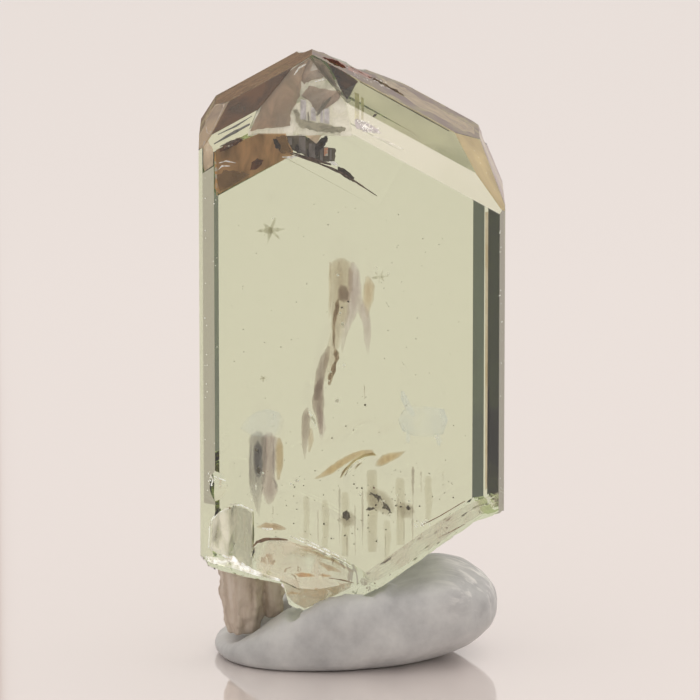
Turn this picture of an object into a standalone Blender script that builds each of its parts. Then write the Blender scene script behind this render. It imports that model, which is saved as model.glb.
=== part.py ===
"""A clear zoisite crystal pressed upright into a lump of mounting putty.

The crystal is cut from a block by its own crystal faces, each one given by Miller indices and one
point that it passes through. Up is the b axis, the front is the a axis and the right is the c axis.
Lengths below are in millimetres and the finished solids are in metres.
"""
import math

import bmesh
import bpy
from mathutils import Euler, Matrix, Vector, noise

MM = 0.001
COLLECTION = "tanzanite crystal"
GAP = 0.3

# Edges of the orthorhombic zoisite cell, in angstrom
CELL_A = 16.19
CELL_B = 5.55
CELL_C = 10.03

# The crystal as a whole, and the cube that its faces are cut from
BLOCK = 60.0
WIDTH = 12.94
DEPTH = 7.70
FRONT = -DEPTH / 2
BACK = DEPTH / 2
RIDGE_X = -1.70
RIDGE_Z = 26.45
FRONT_TOP = 23.46

# Where the ridge faces give way to the steeper end faces, going from front to back
RIGHT_ROOF_FRONT = -1.52
LEFT_ROOF_FRONT = -2.00
LEFT_ROOF_BACK = 1.36
ROOF_STEP_Y = 0.5

# Vertical edges of the broad front and back faces
FRONT_LEFT_EDGE = -5.82
FRONT_RIGHT_EDGE = 6.23
BACK_LEFT_EDGE = -5.72
BACK_RIGHT_EDGE = 5.19
LEDGE_LEFT = 5.67
LEDGE_RIGHT = 5.85

# Points that the narrow bevels on the vertical edges pass through, as X and Y
LEFT_BEVEL = (-6.25, -3.55)
RIGHT_BACK_BEVEL = (LEDGE_RIGHT, 3.43)
LEFT_BACK_BEVEL = (-6.05, 3.59)

# Points on the small faces round the crystal's shoulders
FRONT_TOP_POINT = (0.0, FRONT, FRONT_TOP)
LEFT_SHOULDER = (-4.40, FRONT, FRONT_TOP)
RIGHT_CORNER = (5.15, -2.93, 21.74)
LEFT_CORNER = (-6.00, -3.18, 23.23)
RIGHT_SIDE_TOP = (5.47, 0.0, 22.46)
LEFT_SIDE_TOP = (-5.84, 0.0, 24.14)

# The broken foot: its lowest edge, its slopes to the left and right, and the flatter right corner
FOOT_X = -0.10
FOOT_Z = 2.76
FOOT_LEFT_SLOPE = -0.318
FOOT_RIGHT_SLOPE = 0.7235
FOOT_CORNER_X = 5.27
FOOT_CORNER_SLOPE = 0.317

# A tongue of the foot that reaches down into the putty, as X and Z
TONGUE_TOP = (-2.95, 3.66)
TONGUE_SIDE = (-2.70, 2.72)
TONGUE_TIP = (-1.60, 2.30)

# The lump of putty
PUTTY_LENGTH = 12.55
PUTTY_DEPTH = 8.7
PUTTY_CENTRE_X = 0.18
PUTTY_LOW_TOP = 0.95
PUTTY_RISE = 2.5
PUTTY_RISE_X = -3.3
PUTTY_SWELL = 1.35
PUTTY_SWELL_X = 2.8
PUTTY_LIP = 0.72
PUTTY_LIP_FROM_X = -3.0
PUTTY_LIP_TO_X = 2.9
PUTTY_LIP_Y = -3.45

# The stub of matrix rock under the crystal's left foot
STUB_CENTRE = (-4.72, -0.70)
STUB_SIZE = (1.85, 2.3)
STUB_BOTTOM = 1.15
STUB_TOP = 5.4
LUMP_CENTRE = (-3.40, -0.30)
LUMP_SIZE = (1.0, 1.4)
LUMP_BOTTOM = 1.70
LUMP_TOP = 4.60


def new_collection(name):
    collection = bpy.data.collections.new(name)
    bpy.context.scene.collection.children.link(collection)
    return collection


def new_material(name, colour, roughness, transmission=0.0, ior=1.5):
    material = bpy.data.materials.new(name)
    material.use_nodes = True
    shader = material.node_tree.nodes["Principled BSDF"]
    shader.inputs["Base Color"].default_value = (*colour, 1.0)
    shader.inputs["Roughness"].default_value = roughness
    shader.inputs["Metallic"].default_value = 0.0
    shader.inputs["Transmission Weight"].default_value = transmission
    shader.inputs["IOR"].default_value = ior
    material.diffuse_color = (*colour, 1.0)
    return material


def object_from(mesh, name, collection, material=None):
    """Scale a bmesh from millimetres to metres and put it in the scene as one object."""
    bmesh.ops.scale(mesh, vec=(MM, MM, MM), verts=mesh.verts)
    data = bpy.data.meshes.new(name)
    mesh.to_mesh(data)
    mesh.free()
    if material:
        data.materials.append(material)
    piece = bpy.data.objects.new(name, data)
    collection.objects.link(piece)
    return piece


def hide_cutter(piece):
    piece.hide_render = True
    piece.display_type = "WIRE"


def subtract(piece, cutter):
    modifier = piece.modifiers.new("cut by " + cutter.name, "BOOLEAN")
    modifier.operation = "DIFFERENCE"
    modifier.solver = "EXACT"
    modifier.object = cutter


def face_normal(h, k, l):
    """Outward direction of a crystal face: c to the right, a to the front, b up."""
    return Vector((l / CELL_C, -h / CELL_A, k / CELL_B)).normalized()


def cut_off(mesh, point, normal):
    """Cut away what lies beyond a plane, and close the cut with a flat face."""
    geometry = mesh.verts[:] + mesh.edges[:] + mesh.faces[:]
    bmesh.ops.bisect_plane(
        mesh, geom=geometry, dist=1e-5, plane_co=point, plane_no=normal, clear_outer=True
    )
    rim = [edge for edge in mesh.edges if edge.is_boundary]
    if rim:
        bmesh.ops.holes_fill(mesh, edges=rim, sides=0)


def ridge_point(y):
    return (RIDGE_X, y, RIDGE_Z)


def crystal_faces():
    """Miller indices of every crystal face, with a point that the face passes through."""
    side = WIDTH / 2
    return [
        ((1, 0, 0), (0.0, FRONT, 0.0)),
        ((-1, 0, 0), (0.0, BACK, 0.0)),
        ((0, 0, 1), (side, 0.0, 0.0)),
        ((0, 0, -1), (-side, 0.0, 0.0)),
        ((1, 0, 1), (FRONT_RIGHT_EDGE, FRONT, 0.0)),
        ((2, 0, -1), (FRONT_LEFT_EDGE, FRONT, 0.0)),
        ((1, 0, -1), (*LEFT_BEVEL, 0.0)),
        ((-1, 0, 1), (*RIGHT_BACK_BEVEL, 0.0)),
        ((-2, 0, -1), (BACK_LEFT_EDGE, BACK, 0.0)),
        ((-1, 0, -1), (*LEFT_BACK_BEVEL, 0.0)),
        ((0, 1, 1), ridge_point(0.0)),
        ((0, 1, -1), ridge_point(0.0)),
        ((2, 1, 1), ridge_point(RIGHT_ROOF_FRONT)),
        ((2, 1, -1), ridge_point(LEFT_ROOF_FRONT)),
        ((-5, 1, -1), ridge_point(LEFT_ROOF_BACK)),
        ((4, 1, 0), FRONT_TOP_POINT),
        ((7, 2, 2), FRONT_TOP_POINT),
        ((3, 1, -1), LEFT_SHOULDER),
        ((1, 1, 2), RIGHT_CORNER),
        ((1, 1, -2), LEFT_CORNER),
        ((0, 1, 4), RIGHT_SIDE_TOP),
        ((0, 1, -3), LEFT_SIDE_TOP),
    ]


def crystal_mesh(clearance=0.0):
    """The unbroken crystal, with every face moved out by a clearance."""
    mesh = bmesh.new()
    bmesh.ops.create_cube(mesh, size=BLOCK)
    for indices, point in crystal_faces():
        normal = face_normal(*indices)
        cut_off(mesh, Vector(point) + normal * clearance, normal)
    return mesh


def foot_outline(clearance=0.0):
    """What the break took away, seen from the front: all below three slopes."""
    reach = 9.0
    corner_z = FOOT_Z + (FOOT_CORNER_X - FOOT_X) * FOOT_RIGHT_SLOPE
    low = FOOT_Z - clearance
    tongue_side = [(x - clearance, z - clearance) for x, z in (TONGUE_SIDE, TONGUE_TOP)]
    return [
        (-reach, low + (-reach - FOOT_X) * FOOT_LEFT_SLOPE),
        (-reach, -BLOCK),
        (reach, -BLOCK),
        (reach, corner_z - clearance + (reach - FOOT_CORNER_X) * FOOT_CORNER_SLOPE),
        (FOOT_CORNER_X, corner_z - clearance),
        (FOOT_X, low),
        (TONGUE_TIP[0], TONGUE_TIP[1] - clearance),
        *tongue_side,
    ]


def ellipsoid(name, centre, radii, turn, collection, subdivisions=4):
    """A squashed, slightly lumpy ball: what it cuts away leaves a conchoidal, shell-like hollow."""
    mesh = bmesh.new()
    bmesh.ops.create_icosphere(mesh, subdivisions=subdivisions, radius=1.0)
    for vertex in mesh.verts:
        vertex.co *= 1.0 + LUMPINESS * noise.noise(vertex.co * 2.3 + Vector(centre))
    bmesh.ops.scale(mesh, vec=radii, verts=mesh.verts)
    turned = Matrix.Translation(centre) @ Euler([math.radians(a) for a in turn]).to_matrix().to_4x4()
    bmesh.ops.transform(mesh, matrix=turned, verts=mesh.verts)
    piece = object_from(mesh, name, collection)
    hide_cutter(piece)
    return piece


# How far a chip's surface strays from an even bowl, as a share of its radius
LUMPINESS = 0.02

# Chips and conchoidal hollows: name, centre, radii, turn in degrees and fineness
CHIPS = [
    ("foot scoop, left half", (-5.60, -6.55, 6.00), (1.75, 2.90, 3.70), (0, 0, 0), 5),
    ("foot scoop, right half", (-4.80, -6.20, 5.90), (1.35, 2.60, 3.90), (0, 0, 0), 5),
    ("foot shell", (-3.30, -5.00, 4.45), (1.75, 1.65, 1.95), (0, 0, 0), 4),
    ("foot slope", (-1.40, -4.95, 3.20), (3.60, 2.20, 2.35), (0, 24, 0), 4),
    ("left edge chip", (-5.95, -5.05, 8.25), (1.30, 1.40, 1.30), (0, 0, 0), 4),
    ("foot corner shell", (-6.75, -2.90, 4.55), (0.75, 1.30, 0.45), (0, -10, 0), 3),
    ("right foot splinter", (3.90, -4.25, 5.45), (1.90, 0.60, 0.35), (0, -36, 0), 3),
    ("crest chip", (-1.75, 1.50, 26.62), (1.25, 1.80, 0.62), (0, 0, 0), 3),
    ("crest nick", (0.20, 2.70, 25.42), (0.60, 0.90, 0.30), (0, 29, 0), 3),
    ("shoulder notch", (6.05, 3.20, 21.95), (0.55, 0.95, 0.35), (0, 25, 0), 3),
]


# Hollows that the putty rises into
FILLED_HOLLOWS = ("foot shell", "foot slope")


def growth_step(collection):
    """A step in the bevels of the back right edge: a slope, then a narrow flat ledge."""
    slope = (CELL_A / CELL_C) / 2
    ledge_y = BACK - (LEDGE_LEFT - BACK_RIGHT_EDGE) * slope
    clear = 1.0
    outline = [
        (BACK_RIGHT_EDGE, BACK),
        (LEDGE_LEFT, ledge_y),
        (LEDGE_RIGHT + 0.02, ledge_y),
        (LEDGE_RIGHT + 0.02, BACK + clear),
        (BACK_RIGHT_EDGE, BACK + clear),
    ]
    return extrusion("growth step", outline, 20.0, Matrix.Translation((0.0, 0.0, 15.0 * MM)), collection)


def extrusion(name, outline, half_length, place, collection):
    """A flat outline drawn out to both sides, as a closed mesh that can cut."""
    curve = bpy.data.curves.new(name, "CURVE")
    curve.dimensions = "2D"
    curve.fill_mode = "BOTH"
    curve.extrude = half_length * MM
    spline = curve.splines.new("POLY")
    spline.points.add(len(outline) - 1)
    for point, (x, y) in zip(spline.points, outline):
        point.co = (x * MM, y * MM, 0.0, 1.0)
    spline.use_cyclic_u = True
    holder = bpy.data.objects.new(name, curve)
    collection.objects.link(holder)
    bpy.context.view_layer.update()
    evaluated = holder.evaluated_get(bpy.context.evaluated_depsgraph_get())
    data = bpy.data.meshes.new_from_object(evaluated)
    bpy.data.objects.remove(holder)
    mesh = bmesh.new()
    mesh.from_mesh(data)
    bmesh.ops.remove_doubles(mesh, verts=mesh.verts, dist=1e-7)
    bmesh.ops.transform(mesh, matrix=place, verts=mesh.verts)
    bmesh.ops.recalc_face_normals(mesh, faces=mesh.faces)
    mesh.to_mesh(data)
    mesh.free()
    piece = bpy.data.objects.new(name, data)
    collection.objects.link(piece)
    hide_cutter(piece)
    return piece


def foot_break(name, clearance, collection):
    """The broken foot's outline drawn out from front to back."""
    upright = Matrix.Rotation(math.radians(90), 4, "X")
    return extrusion(name, foot_outline(clearance), 10.0, upright, collection)


def room_hollow(name, centre, radii, turn, fineness, collection):
    """A chip's hollow drawn in by the gap, so that what fills it stays clear of the crystal."""
    inner = tuple(radius - GAP for radius in radii)
    return ellipsoid(name + " less the gap", centre, inner, turn, collection, fineness)


def back_step(collection):
    """A growth step on the back face, sharp below and dying out to the right."""
    start_x = 1.10
    start_z = 19.42
    fall = math.atan(CELL_B / CELL_C)
    dip = math.radians(1.4)
    mesh = bmesh.new()
    bmesh.ops.create_cube(mesh, size=1.0)
    bmesh.ops.scale(mesh, vec=(7.0, 2.0, 7.0), verts=mesh.verts)
    bmesh.ops.translate(mesh, vec=(-3.5, 1.0, 3.5), verts=mesh.verts)
    place = (
        Matrix.Translation((start_x, BACK, start_z))
        @ Matrix.Rotation(fall, 4, "Y")
        @ Matrix.Rotation(dip, 4, "Z")
    )
    bmesh.ops.transform(mesh, matrix=place, verts=mesh.verts)
    piece = object_from(mesh, "back step", collection)
    hide_cutter(piece)
    return piece


def roof_step(collection):
    """The rear half of the right roof face lies a little lower, behind a thin ledge."""
    roof_angle = math.atan((1 / CELL_C) / (1 / CELL_B))
    drop_angle = math.radians(3.4)
    end_x = 2.42
    end_z = RIDGE_Z - (end_x - RIDGE_X) * math.tan(roof_angle)
    length = 4.4
    mesh = bmesh.new()
    bmesh.ops.create_cube(mesh, size=1.0)
    bmesh.ops.scale(mesh, vec=(length, 6.0, 1.0), verts=mesh.verts)
    bmesh.ops.translate(mesh, vec=(-length / 2, 3.0, 0.5), verts=mesh.verts)
    tilt = Matrix.Rotation(roof_angle - drop_angle, 4, "Y")
    place = Matrix.Translation((end_x, ROOF_STEP_Y, end_z)) @ tilt
    bmesh.ops.transform(mesh, matrix=place, verts=mesh.verts)
    piece = object_from(mesh, "roof step", collection)
    hide_cutter(piece)
    return piece


def make_crystal(parts, cutters):
    glass = new_material("clear zoisite", (0.80, 0.77, 0.60), 0.03, transmission=1.0, ior=1.694)
    crystal = object_from(crystal_mesh(), "tanzanite_crystal", parts, glass)
    subtract(crystal, foot_break("foot break", 0.0, cutters))
    subtract(crystal, growth_step(cutters))
    subtract(crystal, roof_step(cutters))
    subtract(crystal, back_step(cutters))
    for name, centre, radii, turn, fineness in CHIPS:
        subtract(crystal, ellipsoid(name, centre, radii, turn, cutters, fineness))
    return crystal


def rock_column(centre, size, bottom, top, clearance, segments, rings):
    """An upright lump of rock, fluted from top to bottom and drawn in below."""
    mesh = bmesh.new()
    height = top - bottom
    bmesh.ops.create_cone(
        mesh, cap_ends=True, segments=segments, radius1=1.0, radius2=1.0, depth=height
    )
    side_edges = [e for e in mesh.edges if abs(e.verts[0].co.z - e.verts[1].co.z) > height / 2]
    bmesh.ops.subdivide_edges(mesh, edges=side_edges, cuts=rings, use_grid_fill=True)
    for vertex in mesh.verts:
        angle = math.atan2(vertex.co.y, vertex.co.x)
        level = vertex.co.z / height + 0.5
        flutes = 0.05 * math.sin(7 * angle + 1.3) + 0.035 * math.sin(13 * angle)
        place = Vector((math.cos(angle) * 2, math.sin(angle) * 2, level * 3.5))
        rough = 0.10 * noise.noise(place)
        waist = 0.10 * math.sin(math.pi * level) - 0.34 * (1 - level) ** 2
        scale = 1.0 + flutes + rough + waist
        vertex.co.x = centre[0] + (scale * size[0] / 2 + clearance) * math.cos(angle)
        vertex.co.y = centre[1] + (scale * size[1] / 2 + clearance) * math.sin(angle)
        vertex.co.z += (top + bottom) / 2 + (clearance if level > 0.5 else -clearance)
    return mesh


def stub_mesh(clearance=0.0):
    return rock_column(STUB_CENTRE, STUB_SIZE, STUB_BOTTOM, STUB_TOP, clearance, 28, 9)


def lump_mesh(clearance=0.0):
    return rock_column(LUMP_CENTRE, LUMP_SIZE, LUMP_BOTTOM, LUMP_TOP, clearance, 18, 7)


def soft_step(x, middle, width):
    return 1.0 / (1.0 + math.exp(-(x - middle) / width))


def putty_top(x):
    """Height of the putty's crest: a low left end, a long back and a swollen right end."""
    rise = PUTTY_RISE * soft_step(x, PUTTY_RISE_X, 0.95)
    swell = PUTTY_SWELL * soft_step(x, PUTTY_SWELL_X, 0.40)
    return PUTTY_LOW_TOP + rise + swell


def putty_lip(x, y):
    """The soft lip that the crystal pushed up in front of its foot."""
    along = soft_step(x, PUTTY_LIP_FROM_X, 0.6) * soft_step(-x, -PUTTY_LIP_TO_X, 0.3)
    return PUTTY_LIP * along * math.exp(-((y - PUTTY_LIP_Y) / 0.9) ** 2)


def putty_mesh():
    """A ball drawn out into a sausage, pinched low at one end and swollen at the other."""
    mesh = bmesh.new()
    bmesh.ops.create_uvsphere(mesh, u_segments=20, v_segments=12, radius=1.0)
    fullness = 2.6
    for vertex in mesh.verts:
        along, across, up = vertex.co
        spread = (abs(along) ** fullness + abs(across) ** fullness) ** (1 / fullness)
        square = math.hypot(along, across) / spread if spread > 0 else 1.0
        x = PUTTY_CENTRE_X + along * square * PUTTY_LENGTH / 2
        top = putty_top(x)
        belly = 0.42 * top
        y = across * square * PUTTY_DEPTH / 2
        if up > 0:
            shoulder = 0.8 - 0.4 * soft_step(-y, 2.6, 0.5)
            z = belly + (top - belly + putty_lip(x, y)) * up ** shoulder
        else:
            undercut = 0.5 + 0.6 * soft_step(x, 2.5, 1.2)
            z = belly - (belly + 0.45) * abs(up) ** undercut
        lean = 0.30 * noise.noise(Vector((along * 1.7, across * 1.7, up * 1.7)))
        vertex.co = (x, y + lean, z + lean * 0.4)
    return mesh


def make_putty(parts, cutters, hollows):
    grey = new_material("mounting putty", (0.41, 0.38, 0.36), 0.55)
    mesh = putty_mesh()
    putty = object_from(mesh, "mounting_putty", parts, grey)
    smooth = putty.modifiers.new("soft form", "SUBSURF")
    smooth.levels = 2
    smooth.render_levels = 2
    foot = bmesh.new()
    bmesh.ops.create_cube(foot, size=1.0)
    bmesh.ops.scale(foot, vec=(40.0, 40.0, 4.0), verts=foot.verts)
    bmesh.ops.translate(foot, vec=(0.0, 0.0, -2.0), verts=foot.verts)
    table = object_from(foot, "table top", cutters)
    hide_cutter(table)
    subtract(putty, table)
    for hollow in hollows:
        subtract(putty, hollow)
    return putty


def make_stub(parts, cutters, crystal_room):
    rock = new_material("striated matrix rock", (0.35, 0.29, 0.23), 0.75)
    stub = object_from(stub_mesh(), "matrix_stub", parts, rock)
    subtract(stub, crystal_room)
    lump = object_from(lump_mesh(), "lower lump", cutters)
    hide_cutter(lump)
    subtract(lump, crystal_room)
    join = stub.modifiers.new("joined to the lower lump", "BOOLEAN")
    join.operation = "UNION"
    join.solver = "EXACT"
    join.object = lump
    return stub


def shade(piece, angle):
    piece.data.shade_smooth()
    piece.data.set_sharp_from_angle(angle=math.radians(angle))


def build():
    for leftover in list(bpy.data.objects):
        bpy.data.objects.remove(leftover, do_unlink=True)
    parts = new_collection(COLLECTION)
    cutters = new_collection("cutters")
    make_crystal(parts, cutters)
    crystal_room = object_from(crystal_mesh(GAP), "room for the crystal", cutters)
    hide_cutter(crystal_room)
    subtract(crystal_room, foot_break("foot break with clearance", GAP / math.cos(math.radians(36)), cutters))
    for chip in CHIPS:
        if chip[0] in FILLED_HOLLOWS:
            subtract(crystal_room, room_hollow(*chip, cutters))
    stub_room = object_from(stub_mesh(GAP), "room for the stub", cutters)
    hide_cutter(stub_room)
    lump_room = object_from(lump_mesh(GAP), "room for the lower lump", cutters)
    hide_cutter(lump_room)
    stub = make_stub(parts, cutters, crystal_room)
    putty = make_putty(parts, cutters, [crystal_room, stub_room, lump_room])
    shade(stub, 35)
    shade(putty, 60)


build()
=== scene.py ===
"""The looks of a clear zoisite crystal that stands in a lump of mounting putty.

Lengths are in millimetres unless a name says otherwise, and every finished mesh is in metres.
"""
import math

import bmesh
import bpy
from mathutils import Matrix, Vector, noise
from mathutils.bvhtree import BVHTree


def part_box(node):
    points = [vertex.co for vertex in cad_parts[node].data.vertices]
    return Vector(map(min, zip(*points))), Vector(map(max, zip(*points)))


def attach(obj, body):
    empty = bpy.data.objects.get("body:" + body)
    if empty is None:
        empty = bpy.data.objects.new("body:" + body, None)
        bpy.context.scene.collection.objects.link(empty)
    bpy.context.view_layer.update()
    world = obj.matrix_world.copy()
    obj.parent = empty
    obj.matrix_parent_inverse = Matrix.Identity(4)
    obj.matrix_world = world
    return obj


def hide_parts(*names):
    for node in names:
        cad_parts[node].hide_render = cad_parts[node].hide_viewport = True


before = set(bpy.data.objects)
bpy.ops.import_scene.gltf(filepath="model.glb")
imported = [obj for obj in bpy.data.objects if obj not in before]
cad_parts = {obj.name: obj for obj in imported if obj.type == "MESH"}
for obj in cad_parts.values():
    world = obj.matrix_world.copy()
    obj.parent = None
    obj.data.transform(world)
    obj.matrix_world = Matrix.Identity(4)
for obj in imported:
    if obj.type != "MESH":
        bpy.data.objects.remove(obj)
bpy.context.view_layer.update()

MM = 0.001

# How the photograph was taken: the camera looks along +Y and a little down
ELEVATION = math.radians(12.0)
DISTANCE = 300.0
AIM = Vector((-0.0858, 0.0, 13.336))
CAMERA = AIM + Vector((0.0, -math.cos(ELEVATION), math.sin(ELEVATION))) * DISTANCE
CAMERA_TILT = math.radians(90) - ELEVATION
SENSOR = 36.0
FRAME_WIDTH = 30.03
FRAME_PIXELS = 700
PIXEL = FRAME_WIDTH / FRAME_PIXELS

CRYSTAL_LOW, CRYSTAL_HIGH = (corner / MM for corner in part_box("tanzanite_crystal"))
ZOISITE_IOR = 1.694

# Edges of the orthorhombic zoisite cell, in angstrom
CELL_A = 16.19
CELL_B = 5.55
CELL_C = 10.03


def colour(code):
    """An sRGB hex colour as the linear colour that a shader wants."""
    values = [int(code[i:i + 2], 16) / 255 for i in (1, 3, 5)]
    linear = [v / 12.92 if v <= 0.04045 else ((v + 0.055) / 1.055) ** 2.4 for v in values]
    return (*linear, 1.0)


def set_inputs(tree, node, inputs):
    """Set or link a node's inputs."""
    for socket, value in inputs.items():
        target = node.inputs[socket]
        if isinstance(value, bpy.types.NodeSocket):
            tree.links.new(value, target)
        else:
            target.default_value = value


def add_node(tree, kind, inputs=None, stops=(), **settings):
    """Add a node with its settings, its colour stops, and its inputs set or linked."""
    node = tree.nodes.new(kind)
    for name, value in settings.items():
        setattr(node, name, value)
    if stops:
        elements = node.color_ramp.elements
        while len(elements) < len(stops):
            elements.new(0.5)
        for element, (position, code) in zip(elements, stops):
            element.position = position
            element.color = colour(code)
    set_inputs(tree, node, inputs or {})
    return node


def new_material(name):
    material = bpy.data.materials.new(name)
    material.use_nodes = True
    tree = material.node_tree
    return material, tree, tree.nodes["Principled BSDF"]


def scale_mesh(mesh, factor):
    bmesh.ops.scale(mesh, vec=(factor, factor, factor), verts=mesh.verts)


def in_scene(name, data):
    """A new object in the scene, at the origin."""
    thing = bpy.data.objects.new(name, data)
    bpy.context.scene.collection.objects.link(thing)
    return thing


def mesh_object(name, mesh):
    """Put a bmesh in millimetres into the scene as one object at the origin."""
    scale_mesh(mesh, MM)
    data = bpy.data.meshes.new(name)
    mesh.to_mesh(data)
    mesh.free()
    return in_scene(name, data)


def in_millimetres(*finished):
    """Finished meshes as one bmesh in millimetres."""
    mesh = bmesh.new()
    for data in finished:
        mesh.from_mesh(data)
    scale_mesh(mesh, 1 / MM)
    return mesh


def merged(data, reach=0.0005):
    """A finished mesh as a bmesh in millimetres, with its loose triangles joined."""
    mesh = in_millimetres(data)
    bmesh.ops.remove_doubles(mesh, verts=mesh.verts, dist=reach)
    mesh.normal_update()
    return mesh


def merged_copy(node):
    """A CAD node's mesh as a bmesh in millimetres."""
    return merged(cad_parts[node].data)


def modified(piece):
    """What a helper object's modifiers make of it, as a finished mesh. The helper is removed."""
    bpy.context.view_layer.update()
    evaluated = piece.evaluated_get(bpy.context.evaluated_depsgraph_get())
    data = bpy.data.meshes.new_from_object(evaluated)
    bpy.data.objects.remove(piece)
    return data


def add_loop_faces(mesh, loops):
    """Join each closed loop of points to the next one."""
    for lower, upper in zip(loops, loops[1:]):
        count = len(lower)
        for i in range(count):
            j = (i + 1) % count
            mesh.faces.new((lower[i], lower[j], upper[j], upper[i]))


def dress(piece, material, slot, *nodes):
    """Give a finished piece its material and body, and hide the CAD nodes that it stands for."""
    piece.data.materials.clear()
    piece.data.materials.append(material)
    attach(piece, "root")
    if nodes:
        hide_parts(*nodes)


def sight_line(x, y):
    """The direction in which the camera sees a pixel of the photograph."""
    turn = Matrix.Rotation(CAMERA_TILT, 3, "X")
    middle = FRAME_PIXELS / 2
    scale = PIXEL / DISTANCE
    direction = turn @ Vector(((x - middle) * scale, (middle - y) * scale, -1.0))
    return direction.normalized()


def bent(direction, normal, ratio):
    """The direction in which light goes on when it enters the crystal."""
    facing = -direction.dot(normal)
    onward = 1.0 - ratio * ratio * (1.0 - facing * facing)
    return (ratio * direction + (ratio * facing - math.sqrt(onward)) * normal).normalized()


def behind(x, y, depth):
    """The point inside the crystal that the camera sees at a pixel, at a depth behind the surface."""
    direction = sight_line(x, y)
    near, normal, index, distance = CRYSTAL.ray_cast(CAMERA, direction)
    return near + bent(direction, normal, 1.0 / ZOISITE_IOR) * depth


# Materials. The scale of a pattern is given as its patches per millimetre

def patterned(name, per_mm, detail, stops, stretch=1.0, distortion=0.0, roughness=0.5):
    """A material with a noise pattern, drawn out upwards when stretch is under one.

    Its tree, its shader and the pattern as a colour and as a plain value come with it.
    """
    material, tree, shader = new_material(name)
    place = add_node(tree, "ShaderNodeTexCoord").outputs["Object"]
    drawn = add_node(tree, "ShaderNodeMapping", {"Vector": place, "Scale": (1.0, 1.0, stretch)})
    cloud = add_node(tree, "ShaderNodeTexNoise", {
        "Vector": drawn.outputs["Vector"],
        "Scale": per_mm / MM,
        "Detail": detail,
        "Roughness": roughness,
        "Distortion": distortion,
    }).outputs["Fac"]
    tint = add_node(tree, "ShaderNodeValToRGB", {"Fac": cloud}, stops).outputs["Color"]
    return material, tree, shader, tint, cloud


def let_through(tree, shader, tint, inside=None, ior=1.0, gloss=0.0):
    """Let light through with a tint, with no surface of its own unless it has an index and a gloss.

    The inside swallows light when it is given: the colour that it passes, and its density.
    """
    set_inputs(tree, shader, {
        "Base Color": tint,
        "Roughness": 0.0,
        "Transmission Weight": 1.0,
        "IOR": ior,
        "Specular IOR Level": gloss,
    })
    if inside:
        passed, density = inside
        volume = add_node(tree, "ShaderNodeVolumeAbsorption", {"Color": passed, "Density": density})
        tree.links.new(volume.outputs["Volume"], tree.nodes["Material Output"].inputs["Volume"])


STRAW_PASSED = (0.50, 0.62, 0.125, 1.0)
STRAW_DENSITY = 72.0


def clear_zoisite():
    """Clear straw-coloured zoisite: glassy natural faces, a little absorption of blue."""
    material, tree, shader = new_material("clear straw zoisite, natural crystal faces")
    straw = (STRAW_PASSED, STRAW_DENSITY)
    let_through(tree, shader, colour("#FFFFFF"), straw, ior=ZOISITE_IOR, gloss=0.5)
    return material


# Where the painted highlight on the putty's shoulder begins and is full, along X and upwards, and how its
# streaks lie
HIGHLIGHT_RIGHT = (3.0, 5.4)
HIGHLIGHT_UP = (1.8, 3.6)
HIGHLIGHT_STREAK_TURN = math.radians(-38.0)
HIGHLIGHT_STREAK_STRETCH = 0.22


def mounting_putty():
    """Grey mounting putty, rolled by hand: softly shiny and mottled, with a painted highlight on its
    shoulder.
    """
    stops = [(0.30, "#AFB0B0"), (0.50, "#C6C7C6"), (0.68, "#D6D7D5")]
    name = "grey mounting putty, rolled by hand"
    material, tree, shader, tint, mottle = patterned(name, 0.48, 6.0, stops, roughness=0.62)
    place = add_node(tree, "ShaderNodeTexCoord").outputs["Object"]
    # The painted highlight: pale streaks on the right shoulder, where the light falls
    along = add_node(tree, "ShaderNodeMapping", {
        "Vector": place,
        "Rotation": (0.0, HIGHLIGHT_STREAK_TURN, 0.0),
        "Scale": (HIGHLIGHT_STREAK_STRETCH, 1.0, 1.0),
    })
    highlight_streaks = add_node(tree, "ShaderNodeTexNoise", {
        "Vector": along.outputs["Vector"],
        "Scale": 1.9 / MM,
        "Detail": 5.0,
        "Distortion": 0.4,
    })
    spread = add_node(tree, "ShaderNodeSeparateXYZ", {"Vector": place})
    reached = []
    for axis, (start, full) in (("X", HIGHLIGHT_RIGHT), ("Z", HIGHLIGHT_UP)):
        rise = add_node(tree, "ShaderNodeMapRange", {
            "Value": spread.outputs[axis],
            "From Min": start * MM,
            "From Max": full * MM,
        })
        reached.append(rise.outputs["Result"])
    shoulder = add_node(tree, "ShaderNodeMath", {0: reached[0], 1: reached[1]}, operation="MULTIPLY")
    streaked = add_node(tree, "ShaderNodeMapRange", {
        "Value": highlight_streaks.outputs["Fac"],
        "From Min": 0.48,
        "From Max": 0.62,
        "To Max": 0.9,
    })
    share = add_node(tree, "ShaderNodeMath", {
        0: streaked.outputs["Result"],
        1: shoulder.outputs["Value"],
    }, operation="MULTIPLY")
    # The painted highlight's pale colour is mixed into the putty's own here
    pale = add_node(tree, "ShaderNodeMix", {
        "Factor": share.outputs["Value"],
        6: tint,
        7: colour("#F4F3EF"),
    }, data_type="RGBA")
    grain = add_node(tree, "ShaderNodeTexNoise", {"Vector": place, "Scale": 2.6 / MM, "Detail": 3.0})
    bump = add_node(tree, "ShaderNodeBump", {
        "Height": grain.outputs["Fac"],
        "Strength": 0.15,
        "Distance": 0.05 * MM,
    })
    set_inputs(tree, shader, {
        "Base Color": pale.outputs[2],
        "Roughness": 0.42,
        "Normal": bump.outputs["Normal"],
    })
    return material


def striated_rock():
    """Weathered matrix rock: warm grey-brown, streaked from top to bottom."""
    stops = [(0.30, "#B5A595"), (0.50, "#CDBFAF"), (0.70, "#DBD0C3")]
    name = "striated grey-brown matrix rock"
    material, tree, shader, tint, streaks = patterned(name, 3.2, 6.0, stops, stretch=0.12)
    bump = add_node(tree, "ShaderNodeBump", {"Height": streaks, "Strength": 0.25, "Distance": 0.1 * MM})
    set_inputs(tree, shader, {"Base Color": tint, "Roughness": 0.75, "Normal": bump.outputs["Normal"]})
    return material


# The share of a volume's density with which it swallows the colour that it passes least
STRONGEST = 0.95


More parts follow.
